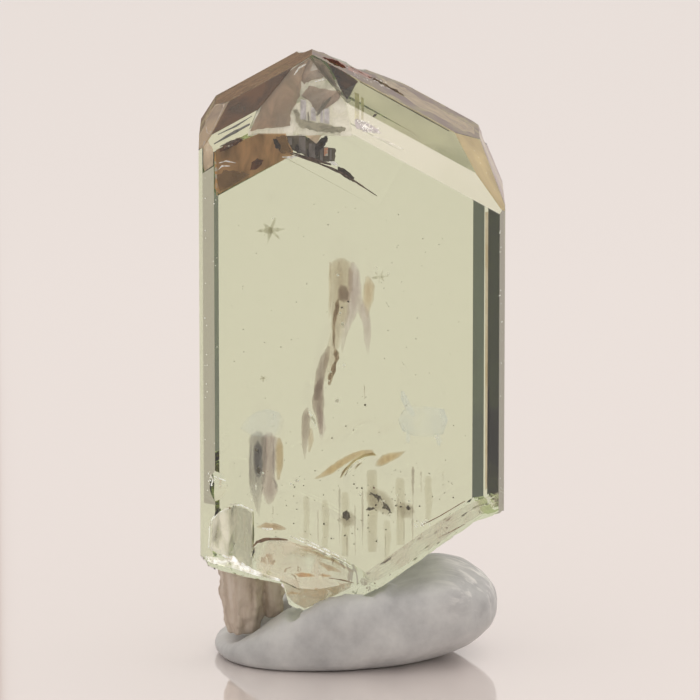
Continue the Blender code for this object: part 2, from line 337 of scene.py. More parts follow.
def absorption(code, thickness):
    """The colour and density that turn white light into a colour over a thickness in millimetres."""
    lost = [-math.log(value) / (thickness * MM) for value in colour(code)[:3]]
    density = max(lost) / STRONGEST
    return (*(1.0 - value / density for value in lost), 1.0), density


def smoky(name, code, thickness, streak="#F1EDEB"):
    """A growth tube or veil full of tiny hollow needles: it darkens light with its depth.

    The code is the colour of light that has passed through a thickness in millimetres.
    """
    stops = [(0.38, streak), (0.58, "#FFFFFF")]
    material, tree, shader, tint, needles = patterned(name, 5.0, 4.0, stops, stretch=0.2)
    let_through(tree, shader, tint, absorption(code, thickness))
    return material


def stained(name, light, dark, per_mm):
    """A healed crack stained by iron: a film that only tints the light that passes through it."""
    stops = [(0.38, dark), (0.60, light)]
    material, tree, shader, tint, cloud = patterned(name, per_mm, 6.0, stops)
    let_through(tree, shader, tint)
    return material


def painted_glint(name, tint, glow):
    """A painted glint on a hair-thin crack's wall: it glows, in place of the studio's light thrown back."""
    stops = [(0.40, "#C9C4B2"), (0.55, tint)]
    material, tree, shader, light, flaws = patterned(name, 6.0, 3.0, stops)
    set_inputs(tree, shader, {
        "Base Color": light,
        "Roughness": 0.5,
        "Emission Color": light,
        "Emission Strength": glow,
    })
    return material


def mineral_grain(name, light, dark):
    """A solid speck that lets no light through."""
    stops = [(0.35, dark), (0.65, light)]
    material, tree, shader, tint, speckle = patterned(name, 9.0, 2.0, stops)
    set_inputs(tree, shader, {"Base Color": tint, "Roughness": 0.6})
    return material


# Over this part of its noise a cloudy film goes from thin and dark to thick and light
CLOUD_START = 0.36
CLOUD_FULL = 0.62


def cloudy(name, light, dark, per_mm, cover, glow=0.0, stretch=0.5):
    """A healed crack full of fine bubbles: a milky film, patchy and streaked, that scatters light.

    The cover is what its thin and its thick parts hide. A glow stands for the light that the
    bubbles pass on to each other.
    """
    stops = [(CLOUD_START, dark), (CLOUD_FULL, light)]
    material, tree, shader, tint, cloud = patterned(name, per_mm, 6.0, stops, stretch, distortion=0.6)
    hidden = add_node(tree, "ShaderNodeMapRange", {
        "Value": cloud,
        "From Min": CLOUD_START,
        "From Max": CLOUD_FULL,
        "To Min": cover[0],
        "To Max": cover[1],
    })
    set_inputs(tree, shader, {
        "Base Color": tint,
        "Roughness": 0.8,
        "Specular IOR Level": 0.0,
        "Emission Color": tint,
        "Emission Strength": glow,
        "Alpha": hidden.outputs["Result"],
    })
    return material


# Crystal

# The break never reaches higher than this, so rays that pass the foot don't count
BREAK_HIGHEST = 8.5

# How deep all of the break lies at least, and how deep its shells, ripples and ledges bite
RELIEF_LEAST = 0.01
SHELL_DEPTH = 0.07
RIPPLE_DEPTH = 0.012
LEDGE_DEPTH = 0.05

# The ripples run round the point where the break began: their angle per millimetre, and how far
# they sway
BREAK_START = (-3.4, -5.6)
RIPPLE_TURN = 4.0
RIPPLE_SWAY = 4.0

# Swells of the break's noise per millimetre along X and Y, the heights at which its layers are cut,
# how many steps the ledges have over a swell, and how sharp they are
SHELLS = (0.5, 0.4)
SHELVES = (0.9, 0.6)
SHELL_LAYER = 2.7
BEND_LAYER = 4.1
LEDGE_LAYER = 8.1
LEDGE_STEPS = 2.5
LEDGE_SHARPNESS = 4

# The cutter's cells from left to right and from front to back, how far it reaches past the crystal,
# how far inside the crystal's sides it is measured, where its rays start and where it ends below
CUTTER_ACROSS = 170
CUTTER_DEEP = 100
CUTTER_PAST = 0.5
CUTTER_INSIDE = 0.02
CUTTER_RAYS = -5.0
CUTTER_FLOOR = -2.0


def mark_facets(mesh, flat_area=0.25, chip_angle=25.0):
    """Keep the crystal faces flat and the chips smooth, with a sharp edge wherever they meet."""
    groups = {}
    for face in mesh.faces:
        distance = face.normal.dot(face.verts[0].co)
        key = (*(round(value, 2) for value in face.normal), round(distance, 1))
        groups.setdefault(key, []).append(face)
    flat = {}
    for key, faces in groups.items():
        if sum(face.calc_area() for face in faces) > flat_area:
            for face in faces:
                flat[face] = key
    for face in mesh.faces:
        face.smooth = True
    for edge in mesh.edges:
        sides = [flat.get(face) for face in edge.link_faces]
        differs = len(set(sides)) > 1
        folded = len(edge.link_faces) == 2 and edge.calc_face_angle(0.0) > math.radians(chip_angle)
        edge.smooth = not (differs or folded)


def cut_away(mesh, cutter):
    """The first bmesh less the second, both in millimetres."""
    piece = mesh_object("crystal being cut", mesh)
    tool = mesh_object("cutter", cutter)
    difference = piece.modifiers.new("cut", "BOOLEAN")
    difference.operation = "DIFFERENCE"
    difference.solver = "EXACT"
    difference.object = tool
    data = modified(piece)
    bpy.data.objects.remove(tool)
    return merged(data)


def break_swell(x, y, per_mm, layer):
    """Smooth noise over the break, from -1 to 1."""
    return noise.noise(Vector((x * per_mm[0], y * per_mm[1], layer)))


def fracture_relief(x, y):
    """How much deeper the real break bites than the plain one: soft shells, ripples, a few ledges."""
    shells = 0.5 + 0.5 * break_swell(x, y, SHELLS, SHELL_LAYER)
    bend = break_swell(x, y, SHELVES, BEND_LAYER)
    from_start = math.hypot(x - BREAK_START[0], y - BREAK_START[1])
    ripple = 0.5 + 0.5 * math.sin(RIPPLE_TURN * from_start + RIPPLE_SWAY * bend)
    shelves = LEDGE_STEPS * break_swell(x, y, SHELVES, LEDGE_LAYER)
    ledge = (shelves - math.floor(shelves)) ** LEDGE_SHARPNESS
    return RELIEF_LEAST + SHELL_DEPTH * shells + RIPPLE_DEPTH * ripple + LEDGE_DEPTH * ledge


def rim_of(rows):
    """The outermost points of a grid of points, once round."""
    last = [row[-1] for row in rows[1:]]
    first = [row[0] for row in rows[-2:0:-1]]
    return rows[0] + last + rows[-1][-2::-1] + first


def add_slab(mesh, near, far):
    """Close two grids of points, one behind the other, into a slab."""
    for i in range(len(near) - 1):
        for j in range(len(near[0]) - 1):
            mesh.faces.new((near[i][j], near[i][j + 1], near[i + 1][j + 1], near[i + 1][j]))
            mesh.faces.new((far[i][j], far[i + 1][j], far[i + 1][j + 1], far[i][j + 1]))
    add_loop_faces(mesh, [rim_of(near), rim_of(far)])


def held(value, low, high):
    """A value held just inside the crystal's sides."""
    return min(max(value, low + CUTTER_INSIDE), high - CUTTER_INSIDE)


def fracture_cutter(plain):
    """A solid that fills the space under the foot and eats a little into its broken surface."""
    left, right = CRYSTAL_LOW.x - CUTTER_PAST, CRYSTAL_HIGH.x + CUTTER_PAST
    front, back = CRYSTAL_LOW.y - CUTTER_PAST, CRYSTAL_HIGH.y + CUTTER_PAST
    upward = Vector((0.0, 0.0, 1.0))
    mesh = bmesh.new()
    top = []
    for j in range(CUTTER_DEEP + 1):
        row = []
        height = CRYSTAL_LOW.z
        for i in range(CUTTER_ACROSS + 1):
            x = left + (right - left) * i / CUTTER_ACROSS
            y = front + (back - front) * j / CUTTER_DEEP
            inside_x = held(x, CRYSTAL_LOW.x, CRYSTAL_HIGH.x)
            inside_y = held(y, CRYSTAL_LOW.y, CRYSTAL_HIGH.y)
            below = Vector((inside_x, inside_y, CUTTER_RAYS))
            hit, normal, index, distance = plain.ray_cast(below, upward)
            if hit:
                height = min(hit.z, BREAK_HIGHEST)
            row.append(mesh.verts.new((x, y, height + fracture_relief(x, y))))
        top.append(row)
    bottom = [[mesh.verts.new((vertex.co.x, vertex.co.y, CUTTER_FLOOR)) for vertex in row] for row in top]
    add_slab(mesh, top, bottom)
    bmesh.ops.recalc_face_normals(mesh, faces=mesh.faces)
    return mesh


def broken_crystal():
    """The crystal with its real break, and the tree that finds where a line meets it."""
    whole = merged_copy("tanzanite_crystal")
    mesh = cut_away(whole, fracture_cutter(BVHTree.FromBMesh(whole)))
    return mesh, BVHTree.FromBMesh(mesh)


BROKEN, CRYSTAL = broken_crystal()


def make_crystal():
    mark_facets(BROKEN)
    piece = mesh_object("clear_crystal", BROKEN)
    # Light shines through it, so it casts no shadow of its own
    piece.visible_shadow = False
    dress(piece, clear_zoisite(), "clear_zoisite", "tanzanite_crystal")


# Inclusions. Places are pixels of the photograph, and depths are behind the surface seen there

# A tube's stretches between two of its own points, and the lumps in its wall per millimetre
TUBE_STEPS = 4
TUBE_LUMPS = 4.0

# A lens thins out over these rings: how large each is next to the rim, and its share of the thickness
LENS_RINGS = [(0.75, 0.6), (0.4, 0.95)]

# How rough a speck is, and how often its surface swells over its own width
SPECK_ROUGH = 0.5
SPECK_SWELLS = 3.0

# Tears of a ragged rim per pixel, and the two places in the noise that they are read from
TEAR_SCALE = 0.35
TEAR_LAYER = 1.7
TEAR_OTHER = Vector((9.0, 4.0, 2.0))

# Facets of one crystal face point the same way when the cosine between them is over this
SAME_WAY = 0.9998


def add_tube(mesh, path, depth, flatness=0.6, sides=10, lumps=0.16):
    """A closed, slightly lumpy tube along a path of (x, y, width) in pixels."""
    middles = [behind(x, y, depth) for x, y, width in path]
    widths = [width * PIXEL for x, y, width in path]
    stations = []
    for i in range(len(path) - 1):
        for step in range(TUBE_STEPS):
            share = step / TUBE_STEPS
            width = widths[i] + (widths[i + 1] - widths[i]) * share
            stations.append((middles[i].lerp(middles[i + 1], share), width))
    stations.append((middles[-1], widths[-1]))
    inward = Vector((0.0, 1.0, 0.0))
    loops = []
    for i, (middle, width) in enumerate(stations):
        onward = stations[min(i + 1, len(stations) - 1)][0] - stations[max(i - 1, 0)][0]
        sideways = onward.cross(inward).normalized()
        loop = []
        for k in range(sides):
            angle = 2 * math.pi * k / sides
            spread = (sideways * math.cos(angle) + inward * math.sin(angle) * flatness) * width / 2
            swell = 1.0 + lumps * noise.noise((middle + spread) * TUBE_LUMPS)
            loop.append(mesh.verts.new(middle + spread * swell))
        loops.append(loop)
    add_loop_faces(mesh, loops)
    mesh.faces.new(loops[0][::-1])
    mesh.faces.new(loops[-1])


def add_lens(mesh, outline, depth, thickness):
    """A closed patch with this outline that thins out towards its rim."""
    corners = [behind(x, y, depth) for x, y in outline]
    count = len(corners)
    middle = sum(corners, Vector()) / count
    back = Vector((0.0, thickness / 2, 0.0))
    rim = [mesh.verts.new(corner) for corner in corners]
    for side in (-1.0, 1.0):
        loops = [rim]
        for size, share in LENS_RINGS:
            aside = back * share * side
            loops.append([mesh.verts.new(middle.lerp(corner, size) + aside) for corner in corners])
        add_loop_faces(mesh, loops)
        centre = mesh.verts.new(middle + back * side)
        for i in range(count):
            mesh.faces.new((loops[-1][i], loops[-1][(i + 1) % count], centre))


def close_plate(mesh, near, far):
    """Join two like outlines of points into a closed plate."""
    front = [mesh.verts.new(point) for point in near]
    back = [mesh.verts.new(point) for point in far]
    mesh.faces.new(front)
    mesh.faces.new(back[::-1])
    add_loop_faces(mesh, [front, back])


def add_plate(mesh, outline, depth, thickness=0.02):
    """A thin closed plate that lies under a crystal face, with its corners at these pixels."""
    near, far = ([behind(x, y, under) for x, y in outline] for under in (depth, depth + thickness))
    close_plate(mesh, near, far)


def add_face_film(mesh, indices, inset=0.01, depth=0.03, thickness=0.02):
    """A thin closed plate that lies just under one whole crystal face, given by its Miller indices."""
    h, k, l = indices
    normal = Vector((l / CELL_C, -h / CELL_A, k / CELL_B)).normalized()
    source = merged_copy("tanzanite_crystal")
    lying_there = [face for face in source.faces if face.normal.dot(normal) > SAME_WAY]
    whole = bmesh.ops.dissolve_faces(source, faces=lying_there, use_verts=True)["region"]
    face = max(whole, key=lambda region: region.calc_area())
    centre = face.calc_center_median()
    corners = [vertex.co.lerp(centre, inset) for vertex in face.verts]
    near, far = ([corner - normal * under for corner in corners] for under in (depth, depth + thickness))
    close_plate(mesh, near, far)
    source.free()


def finer(line, steps=4):
    """A line of pixels with more points on it, evenly between its own."""
    points = [Vector(pixel) for pixel in line]
    between = [a.lerp(b, i / steps) for a, b in zip(points, points[1:]) for i in range(steps)]
    return between + points[-1:]


def ragged(outline, amount):
    """A closed outline of pixels with more points on it, pushed about a little."""
    pushed = []
    for point in finer(outline + outline[:1])[:-1]:
        place = Vector((point.x * TEAR_SCALE, point.y * TEAR_SCALE, TEAR_LAYER))
        aside = Vector((noise.noise(place), noise.noise(place + TEAR_OTHER)))
        pushed.append(point + aside * amount)
    return pushed


def add_skin(mesh, top, bottom, depth, rows=8, thickness=0.02):
    """A thin closed sheet under the crystal's surface, between two lines of pixels."""
    upper, lower = finer(top), finer(bottom)
    sheets = []
    for under in (depth, depth + thickness):
        sheet = []
        for i in range(rows + 1):
            line = [a.lerp(b, i / rows) for a, b in zip(upper, lower)]
            sheet.append([mesh.verts.new(behind(x, y, under)) for x, y in line])
        sheets.append(sheet)
    add_slab(mesh, *sheets)


def add_speck(mesh, x, y, width, height, depth, seed, flatness):
    """A small lumpy grain."""
    middle = behind(x, y, depth)
    made = bmesh.ops.create_icosphere(mesh, subdivisions=1, radius=0.5)["verts"]
    for vertex in made:
        place = vertex.co * SPECK_SWELLS + Vector((seed, seed * 2.0, 0.0))
        vertex.co *= 1.0 + SPECK_ROUGH * noise.noise(place)
        vertex.co.x *= width * PIXEL
        vertex.co.y *= min(width, height) * PIXEL * flatness
        vertex.co.z *= height * PIXEL
        vertex.co += middle


def tubes(lines, depth, flatness=0.6, sides=10, lumps=0.16):
    """Tubes along lines of (x, y, width), at one depth."""
    return [(add_tube, line, depth, flatness, sides, lumps) for line in lines]


def strokes(lines, depth, lumps, flatness=0.4, sides=6):
    """Flat, thin tubes that lie along a face."""
    return tubes(lines, depth, flatness, sides, lumps)


def plates(outlines, depth, torn=0.0):
    """Thin plates at one depth, with rims that may be torn by some pixels."""
    return [(add_plate, ragged(outline, torn) if torn else outline, depth) for outline in outlines]


def lenses(outlines, depth, thickness):
    """Patches at one depth, thick in the middle."""
    return [(add_lens, outline, depth, thickness) for outline in outlines]


def skin(lines, depth, rows=8, thickness=0.02):
    """A sheet at one depth, from its upper to its lower line."""
    return [(add_skin, *lines, depth, rows, thickness)]


def face_film(indices, inset=0.01, depth=0.03):
    """A film behind the crystal face with these Miller indices."""
    return [(add_face_film, indices, inset, depth)]


def specks(rows, depth, step=0.0, layers=1, first_seed=0, flatness=0.7):
    """Specks set in turn in a few layers, so that they don't all lie in one."""
    return [
        (add_speck, *row, depth + step * (i % layers), first_seed + i, flatness) for i, row in enumerate(rows)
    ]


def finish_inclusion(name, mesh, material, rounded=True):
    bmesh.ops.recalc_face_normals(mesh, faces=mesh.faces)
    for face in mesh.faces:
        face.smooth = rounded
    dress(mesh_object(name, mesh), material, "clear_zoisite")


def inclusion(name, forms, material, rounded=True):
    """One piece inside the crystal, of forms given as the function that adds each and its values."""
    mesh = bmesh.new()
    for add_form, *values in forms:
        add_form(mesh, *values)
    finish_inclusion(name, mesh, material, rounded)


def flat_inclusion(name, forms, material):
    """An inclusion whose faces meet at sharp edges."""
    inclusion(name, forms, material, rounded=False)


# The middle tubes, from the top down: (x, y, width), and the outline of a grey block among them
TAN_TUBE = [
    (341, 258, 8), (341, 262, 20), (341, 272, 25), (341, 290, 23), (340, 312, 19), (337, 332, 13),
    (333, 348, 12), (330, 362, 13), (327, 374, 8), (325, 382, 3),
]
SHADOW_BRANCH = [(329, 346, 3), (325, 358, 9), (321, 372, 10), (318, 388, 9), (316, 400, 5)]
GREY_BRANCH = [(322, 378, 4), (319, 388, 10), (318, 400, 13), (319, 412, 10), (320, 424, 6), (321, 434, 3)]
SPINDLE = [(307, 408, 3), (306, 416, 9), (305.5, 430, 9), (305, 444, 6), (304.5, 459, 1.5)]
SPINDLE_FLANK = [(311, 428, 3), (311, 440, 6), (309, 452, 2)]
GREY_BLOCK = [(337, 290), (341, 284), (347, 286), (350, 294), (349, 302), (343, 303), (338, 299)]
DARK_WISPS = [
    [(338, 299, 2), (337, 306, 5), (335, 316, 4), (334, 327, 3), (334, 345, 2.5), (335, 350, 2)],
    [(335, 349, 2), (336.5, 354, 7), (337, 358, 5), (335, 364, 2)],
    [(335, 362, 2), (333, 370, 6), (330, 378, 5), (329, 385, 2)],
]
LILAC_BANDS = [
    [
        (353, 262, 4), (354, 272, 12), (355, 290, 14), (354, 306, 13), (349, 320, 9), (344, 336, 5),
        (342, 352, 2),
    ],
    [(358, 296, 4), (363, 310, 11), (367, 324, 9), (367.5, 340, 7), (367.5, 354, 2)],
    [(317, 405, 3), (321, 416, 8), (322, 428, 8), (321, 440, 3)],
]
OCHRE_BANDS = [
    [(367, 276, 3), (369, 286, 12), (368, 300, 12), (367, 312, 5), (367, 318, 2)],
    [(330, 262, 2), (330, 280, 3.5), (330, 300, 3), (329, 318, 2)],
]


def make_central_tubes():
    """The smoky growth tubes in the middle, which fork and lean to the left below."""
    inclusion("tan_growth_tube", tubes([TAN_TUBE], 3.4), smoky("tan growth tube", "#DDD3C6", 0.6))
    branches = tubes([SHADOW_BRANCH], 3.2) + tubes([GREY_BRANCH], 2.9) + tubes([SPINDLE], 2.7)
    inclusion("grey_growth_tubes", branches + lenses([GREY_BLOCK], 3.0, 0.35),
              smoky("grey growth tubes", "#C2B7B4", 0.25))
    inclusion("lilac_growth_veil", tubes(LILAC_BANDS, 3.8, flatness=0.5),
              smoky("lilac growth veil", "#E2D8E0", 0.26))
    inclusion("ochre_growth_veil", tubes(OCHRE_BANDS, 4.1, flatness=0.5) + tubes([SPINDLE_FLANK], 2.8),
              smoky("ochre growth veil", "#EADBC8", 0.26))
    inclusion("dark_wisps", tubes(DARK_WISPS, 2.9, lumps=0.6),
              smoky("dark growth wisps", "#B7A695", 0.10, "#C9BFB2"))


# The wide tube low on the left, from its left wall to its right fringe: (x, y, width)
LEFT_TUBE = [
    (258, 431, 6), (258, 437, 18), (258, 455, 19), (257, 478, 18), (256, 492, 12), (258, 506, 6),
    (259, 517, 2),
]
LEFT_TUBE_CORE = [(258, 440, 2), (258, 448, 9), (258, 462, 10), (258.5, 471, 9), (258, 478, 2)]
LEFT_TUBE_LILAC = [
    (269, 432, 6), (269, 438, 16), (269, 460, 15), (269, 478, 13), (270, 490, 17), (269, 500, 10),
    (268, 504, 3),
]
LEFT_TUBE_FRINGE = [(279, 438, 3), (279.5, 446, 8), (279.5, 464, 8), (278, 480, 3)]
LEFT_TUBE_WALLS = [
    [(273.5, 440, 1), (273.5, 455, 2.2), (273.5, 479, 2.2), (276, 485, 4), (276, 489, 1)],
    [(251.5, 438, 1), (250.5, 450, 2.6), (250, 475, 2.6), (250.5, 486, 1)],
]


def make_left_tube():
    """The wide smoky tube low on the left, grey on its left side and ochre on its right."""
    inclusion("blue_grey_tube", tubes([LEFT_TUBE], 2.6), smoky("blue-grey growth tube", "#BFBDBF", 0.45))
    inclusion("dark_tube_core", tubes([LEFT_TUBE_CORE], 2.4) + tubes(LEFT_TUBE_WALLS, 2.3, lumps=0.5),
              smoky("dark tube core", "#A8A9B0", 0.2))
    inclusion("lilac_tube", tubes([LEFT_TUBE_LILAC], 2.9), smoky("lilac growth tube", "#D3C8CC", 0.38))
    inclusion("ochre_tube", tubes([LEFT_TUBE_FRINGE], 3.1), smoky("ochre growth tube", "#DCCAB0", 0.2))


# Faint pale-blue patches: two outlines, and smears as (x, y, width)
LEFT_BLUE_PATCH = [
    (240, 428), (247, 418), (256, 412), (267, 409), (279, 412), (284, 421), (280, 434), (268, 437),
    (252, 436),
]
RIGHT_BLUE_PATCH = [
    (398, 420), (403, 410), (415, 405), (430, 407), (444, 409), (448, 420), (443, 434), (430, 437),
    (414, 436), (402, 431),
]
BLUE_SMEARS = [
    [(402, 391, 3), (404, 398, 7), (409, 408, 6), (414, 416, 3)],
    [(408, 432, 2), (408, 439, 5), (408, 443, 1)], [(438, 434, 2), (439, 441, 6), (439, 446, 1)],
]

# Star-shaped marks: (x, y, length of an arm, lean), and the width of their lines in the middle as
# a share of the arm
STARS = [(271, 230, 15, 9), (380.5, 277, 9, 5), (264, 378, 4, 3)]
STAR_WIDTH = 0.42


def star_lines(x, y, arm, lean):
    """Three lines that cross at a pixel: a level one, a steep one and a leaning one."""
    width = arm * STAR_WIDTH
    return [
        [(x - arm, y + 1, 1.0), (x, y, width), (x + arm * 0.9, y - 1, 1.0)],
        [(x + lean * 0.5, y - arm * 0.8, 1.0), (x, y, width * 0.8), (x - lean * 0.4, y + arm * 0.9, 1.0)],
        [(x - lean, y - arm * 0.5, 1.0), (x, y, width * 0.7), (x + lean, y + arm * 0.6, 1.0)],
    ]


def make_patches():
    patches = lenses([LEFT_BLUE_PATCH], 2.2, 0.5) + lenses([RIGHT_BLUE_PATCH], 2.4, 0.6)
    inclusion("pale_blue_patches", patches + tubes(BLUE_SMEARS, 2.3),
              cloudy("pale blue-grey veil", "#F2F8FF", "#DDE4E6", 0.9, cover=(0.05, 0.30), glow=0.10))
    rays = [line for star in STARS for line in star_lines(*star)]
    inclusion("star_marks", tubes(rays, 1.2, flatness=0.5, lumps=0.7),
              smoky("star-shaped healed nicks", "#DAD9CF", 0.1, "#E2E0D8"))


# The curved ochre crack below the middle: (x, y, width), and the outline of the smear at its end
OCHRE_CRACK = [
    (314, 479, 1), (322, 475.5, 5), (331, 470, 8), (341, 463, 8), (352, 456.5, 7), (363, 452.5, 6),
    (371, 452, 5), (376, 455, 1),
]
OLIVE_RIM = [(341, 478, 1), (345, 470, 2.6), (354, 461, 3), (364, 455.5, 3), (373, 454, 3.4), (376, 456, 1)]
OCHRE_SMEAR = [
    (376, 461), (382, 455), (391, 452), (406, 451), (400, 457), (389, 463), (380, 467), (375, 466),
]
CRACK_EDGES = [
    [(340, 478, 1), (343, 472, 2), (347, 467, 1)], [(355, 469, 1), (358, 465, 2), (362, 462.5, 1)],
    [(345, 476, 1), (348, 470, 1.6), (353, 466, 1)],
]
CRACK_GLINTS = [[(347, 473, 1), (352, 466, 3), (358, 461, 3), (364, 458, 1)]]


def make_ochre_crack():
    inclusion("ochre_crack", tubes([OCHRE_CRACK], 2.4) + lenses([OCHRE_SMEAR], 2.6, 0.2),
              smoky("ochre healed crack", "#E4CFAE", 0.18))
    inclusion("olive_crack_rim", tubes([OLIVE_RIM], 2.2), smoky("olive crack rim", "#C4B487", 0.08))
    inclusion("dark_crack_edges", tubes(CRACK_EDGES, 2.1), smoky("dark crack edges", "#9A8A72", 0.05))
    inclusion("crack_glints", tubes(CRACK_GLINTS, 2.0), painted_glint("bright crack wall", "#FFFBEA", 0.35))


# Solid specks, and pale specks that are painted glints: (x, y, width, height); flecks and a glint as (x, y,
# width)
DARK_SPECKS = [
    (346.8, 515.4, 8.6, 10.6), (379, 497, 4.6, 3.4), (384.5, 507.6, 4.8, 3.0), (376, 505, 3.0, 2.4),
    (401, 506.5, 3.0, 2.0), (396, 505.5, 2.2, 2.2), (362, 488, 2.0, 2.0), (370.5, 494, 3.2, 1.6),
    (375.5, 497, 2.6, 1.6), (368.5, 515, 1.8, 1.8), (383, 513, 2.0, 1.2), (354, 484, 2.4, 1.8),
    (357, 488, 1.8, 1.8), (408.6, 508.4, 5.2, 4.6), (419.7, 506, 1.8, 1.8), (324, 523.7, 1.8, 2.2),
    (331.4, 538.4, 1.8, 1.6), (345, 535.5, 2.2, 2.0), (357.5, 529, 1.4, 1.4), (368, 528, 1.6, 1.6),
    (376.4, 541.2, 2.2, 2.2), (386, 529.7, 1.6, 1.6), (446.7, 527.8, 2.6, 2.0), (453.3, 497.5, 1.4, 2.0),
    (451.6, 483, 1.2, 1.2), (365, 405, 2.2, 2.6), (346, 426, 1.6, 1.6), (353.5, 430, 1.4, 1.4),
    (332, 438, 1.6, 1.6), (348.5, 301.5, 2.6, 2.0), (342, 307.6, 2.6, 2.0), (294.5, 487, 2.0, 1.6),
    (258.5, 470, 5.0, 6.5), (256, 450, 3.0, 3.0), (354, 544, 1.4, 1.4), (338, 520, 1.2, 1.2),
]
RAGGED_FLECKS = [
    [(370, 492, 0.8), (373, 494, 2.4), (376, 496, 1.6)],
    [(378, 498, 0.8), (381, 498, 2.4), (382, 501, 1.2)],
    [(384, 503, 0.8), (386, 505, 2.6), (387, 508, 1.4)],
    [(371, 509, 0.8), (373, 508, 2.0), (375, 509, 0.8)],
    [(406, 508, 0.8), (408, 506, 2.4), (410, 508, 0.8)],
    [(388, 514, 0.8), (390, 512, 1.8), (392, 513, 0.8)],
    [(366, 510, 0.8), (369, 508.6, 2.6), (373, 509.4, 0.8)],
    [(376, 494, 0.8), (379, 499, 3.0), (378, 503, 0.8)],
    [(383, 502, 0.8), (385, 505, 2.8), (389, 510, 2.4), (391, 513, 0.8)],
]
RED_SPECKS = [(374, 487.7, 2.2, 2.0), (366.6, 587.6, 2.4, 2.0)]
GLINT_SPECKS = [
    (338, 275, 3.0, 3.2), (342.5, 324, 4.0, 5.0), (340, 313, 2.4, 3.0), (337.5, 400.5, 4.6, 5.0),
    (263, 473, 2.6, 3.0), (297, 480.6, 6.5, 3.6), (291, 484, 3.0, 2.0), (344, 365, 1.8, 5.0),
    (409, 501, 3.0, 2.0), (383, 501, 3.0, 2.0), (436, 437, 3.0, 4.0), (329, 381, 2.0, 2.0),
    (331, 372, 2.0, 2.0), (376, 268, 2.0, 2.0), (273, 218, 1.6, 1.6), (388, 274, 1.6, 1.6),
    (417, 521, 2.4, 1.6), (421, 524, 2.6, 1.8), (426, 520, 2.0, 1.6), (415, 526, 2.2, 1.6),
    (256, 486, 2.0, 9.0), (252, 498, 1.4, 8.0), (397, 495, 1.6, 1.6), (360, 494, 1.6, 1.6),
]
YELLOW_GLINT = [(308.5, 410, 1), (311, 415, 3.2), (314, 421, 3.2), (316.5, 427, 1)]


def make_specks():
    grains = specks(DARK_SPECKS, 1.5, step=0.11, layers=7)
    inclusion("dark_specks", grains + tubes(RAGGED_FLECKS, 2.0, sides=6, lumps=1.2),
              mineral_grain("dark mineral grains", "#8C8474", "#585044"))
    inclusion("red_specks", specks(RED_SPECKS, 1.3), mineral_grain("rust-red grains", "#9A6048", "#6E3A2C"))
    # The pale specks and the yellow glint are painted glints: they glow
    nicks = specks(GLINT_SPECKS, 1.4, step=0.1, layers=5, first_seed=50, flatness=0.4)
    inclusion("bright_nicks", nicks + tubes([YELLOW_GLINT], 2.2),
              painted_glint("bright nick walls", "#FFFDF2", 0.35))


# Fine vertical needles in the lower half, and the soft bands that they stand in:
# (x, y from, y to, width), and the outlines of the haze round the dark grains
NEEDLES = [
    (339.5, 487, 546, 2.6), (362.5, 489, 550, 2.4), (412.9, 466, 506, 3.2), (412.5, 505, 546, 2.0),
    (385.4, 534, 558, 2.2), (347, 534, 560, 2.0), (398, 496, 540, 1.8), (404, 520, 552, 1.6),
    (355, 505, 556, 1.6), (364.4, 385, 399, 1.4), (421, 470, 492, 1.4), (443, 470, 488, 1.4),
    (318, 510, 545, 1.4), (273, 506, 530, 1.4),
]
PALE_BANDS = [
    (372, 470, 552, 12.0), (345, 492, 556, 9.0), (400, 478, 545, 10.0), (325, 500, 548, 8.0),
    (428, 476, 520, 8.0), (387, 520, 560, 7.0), (306, 496, 538, 7.0),
]
GREY_HAZES = [
    [(364, 492), (372, 486), (384, 490), (394, 500), (396, 512), (388, 517), (378, 512), (368, 506)],
    [(395, 505), (403, 501), (413, 504), (416, 512), (411, 519), (401, 519)],
    [(338, 520), (343, 512), (351, 510), (357, 517), (355, 526), (344, 528)],
]

# How far below its upper end such a line has its full width. A needle's tips in pixels, its middle
# as a share of its width, and its lean. A band's ends as shares of its width, and its bend
FULL_BELOW = 4
NEEDLE_TIP = 0.6
NEEDLE_MIDDLE = 0.8
NEEDLE_LEAN = 0.3
BAND_TOP = 0.7
BAND_FOOT = 0.8
BAND_BEND = 1


def needle(x, top, bottom, width):
    """A line that tapers to both ends."""
    middle = (top + bottom) / 2
    upper = [(x, top, NEEDLE_TIP), (x, top + FULL_BELOW, width)]
    return upper + [(x, middle, width * NEEDLE_MIDDLE), (x + NEEDLE_LEAN, bottom, NEEDLE_TIP)]


def band(x, top, bottom, width):
    """A broad line with blunt ends and a slight bend."""
    middle = (top + bottom) / 2
    upper = [(x, top, width * BAND_TOP), (x, top + FULL_BELOW, width)]
    return upper + [(x + BAND_BEND, middle, width), (x, bottom, width * BAND_FOOT)]


def make_needles():
    lines = [needle(*row) for row in NEEDLES]
    inclusion("vertical_needles", tubes(lines, 1.8, flatness=0.8, sides=6, lumps=0.8),
              smoky("vertical hollow needles", "#DAD6D4", 0.09))
    inclusion("soft_bands", tubes([band(*row) for row in PALE_BANDS], 3.0, lumps=0.3),
              smoky("soft growth bands", "#E6E2D9", 0.3, "#FFFFFF"))
    inclusion("grey_hazes", lenses(GREY_HAZES, 2.2, 0.3),
              smoky("grey haze round the grains", "#CFC9C0", 0.3, "#FFFFFF"))
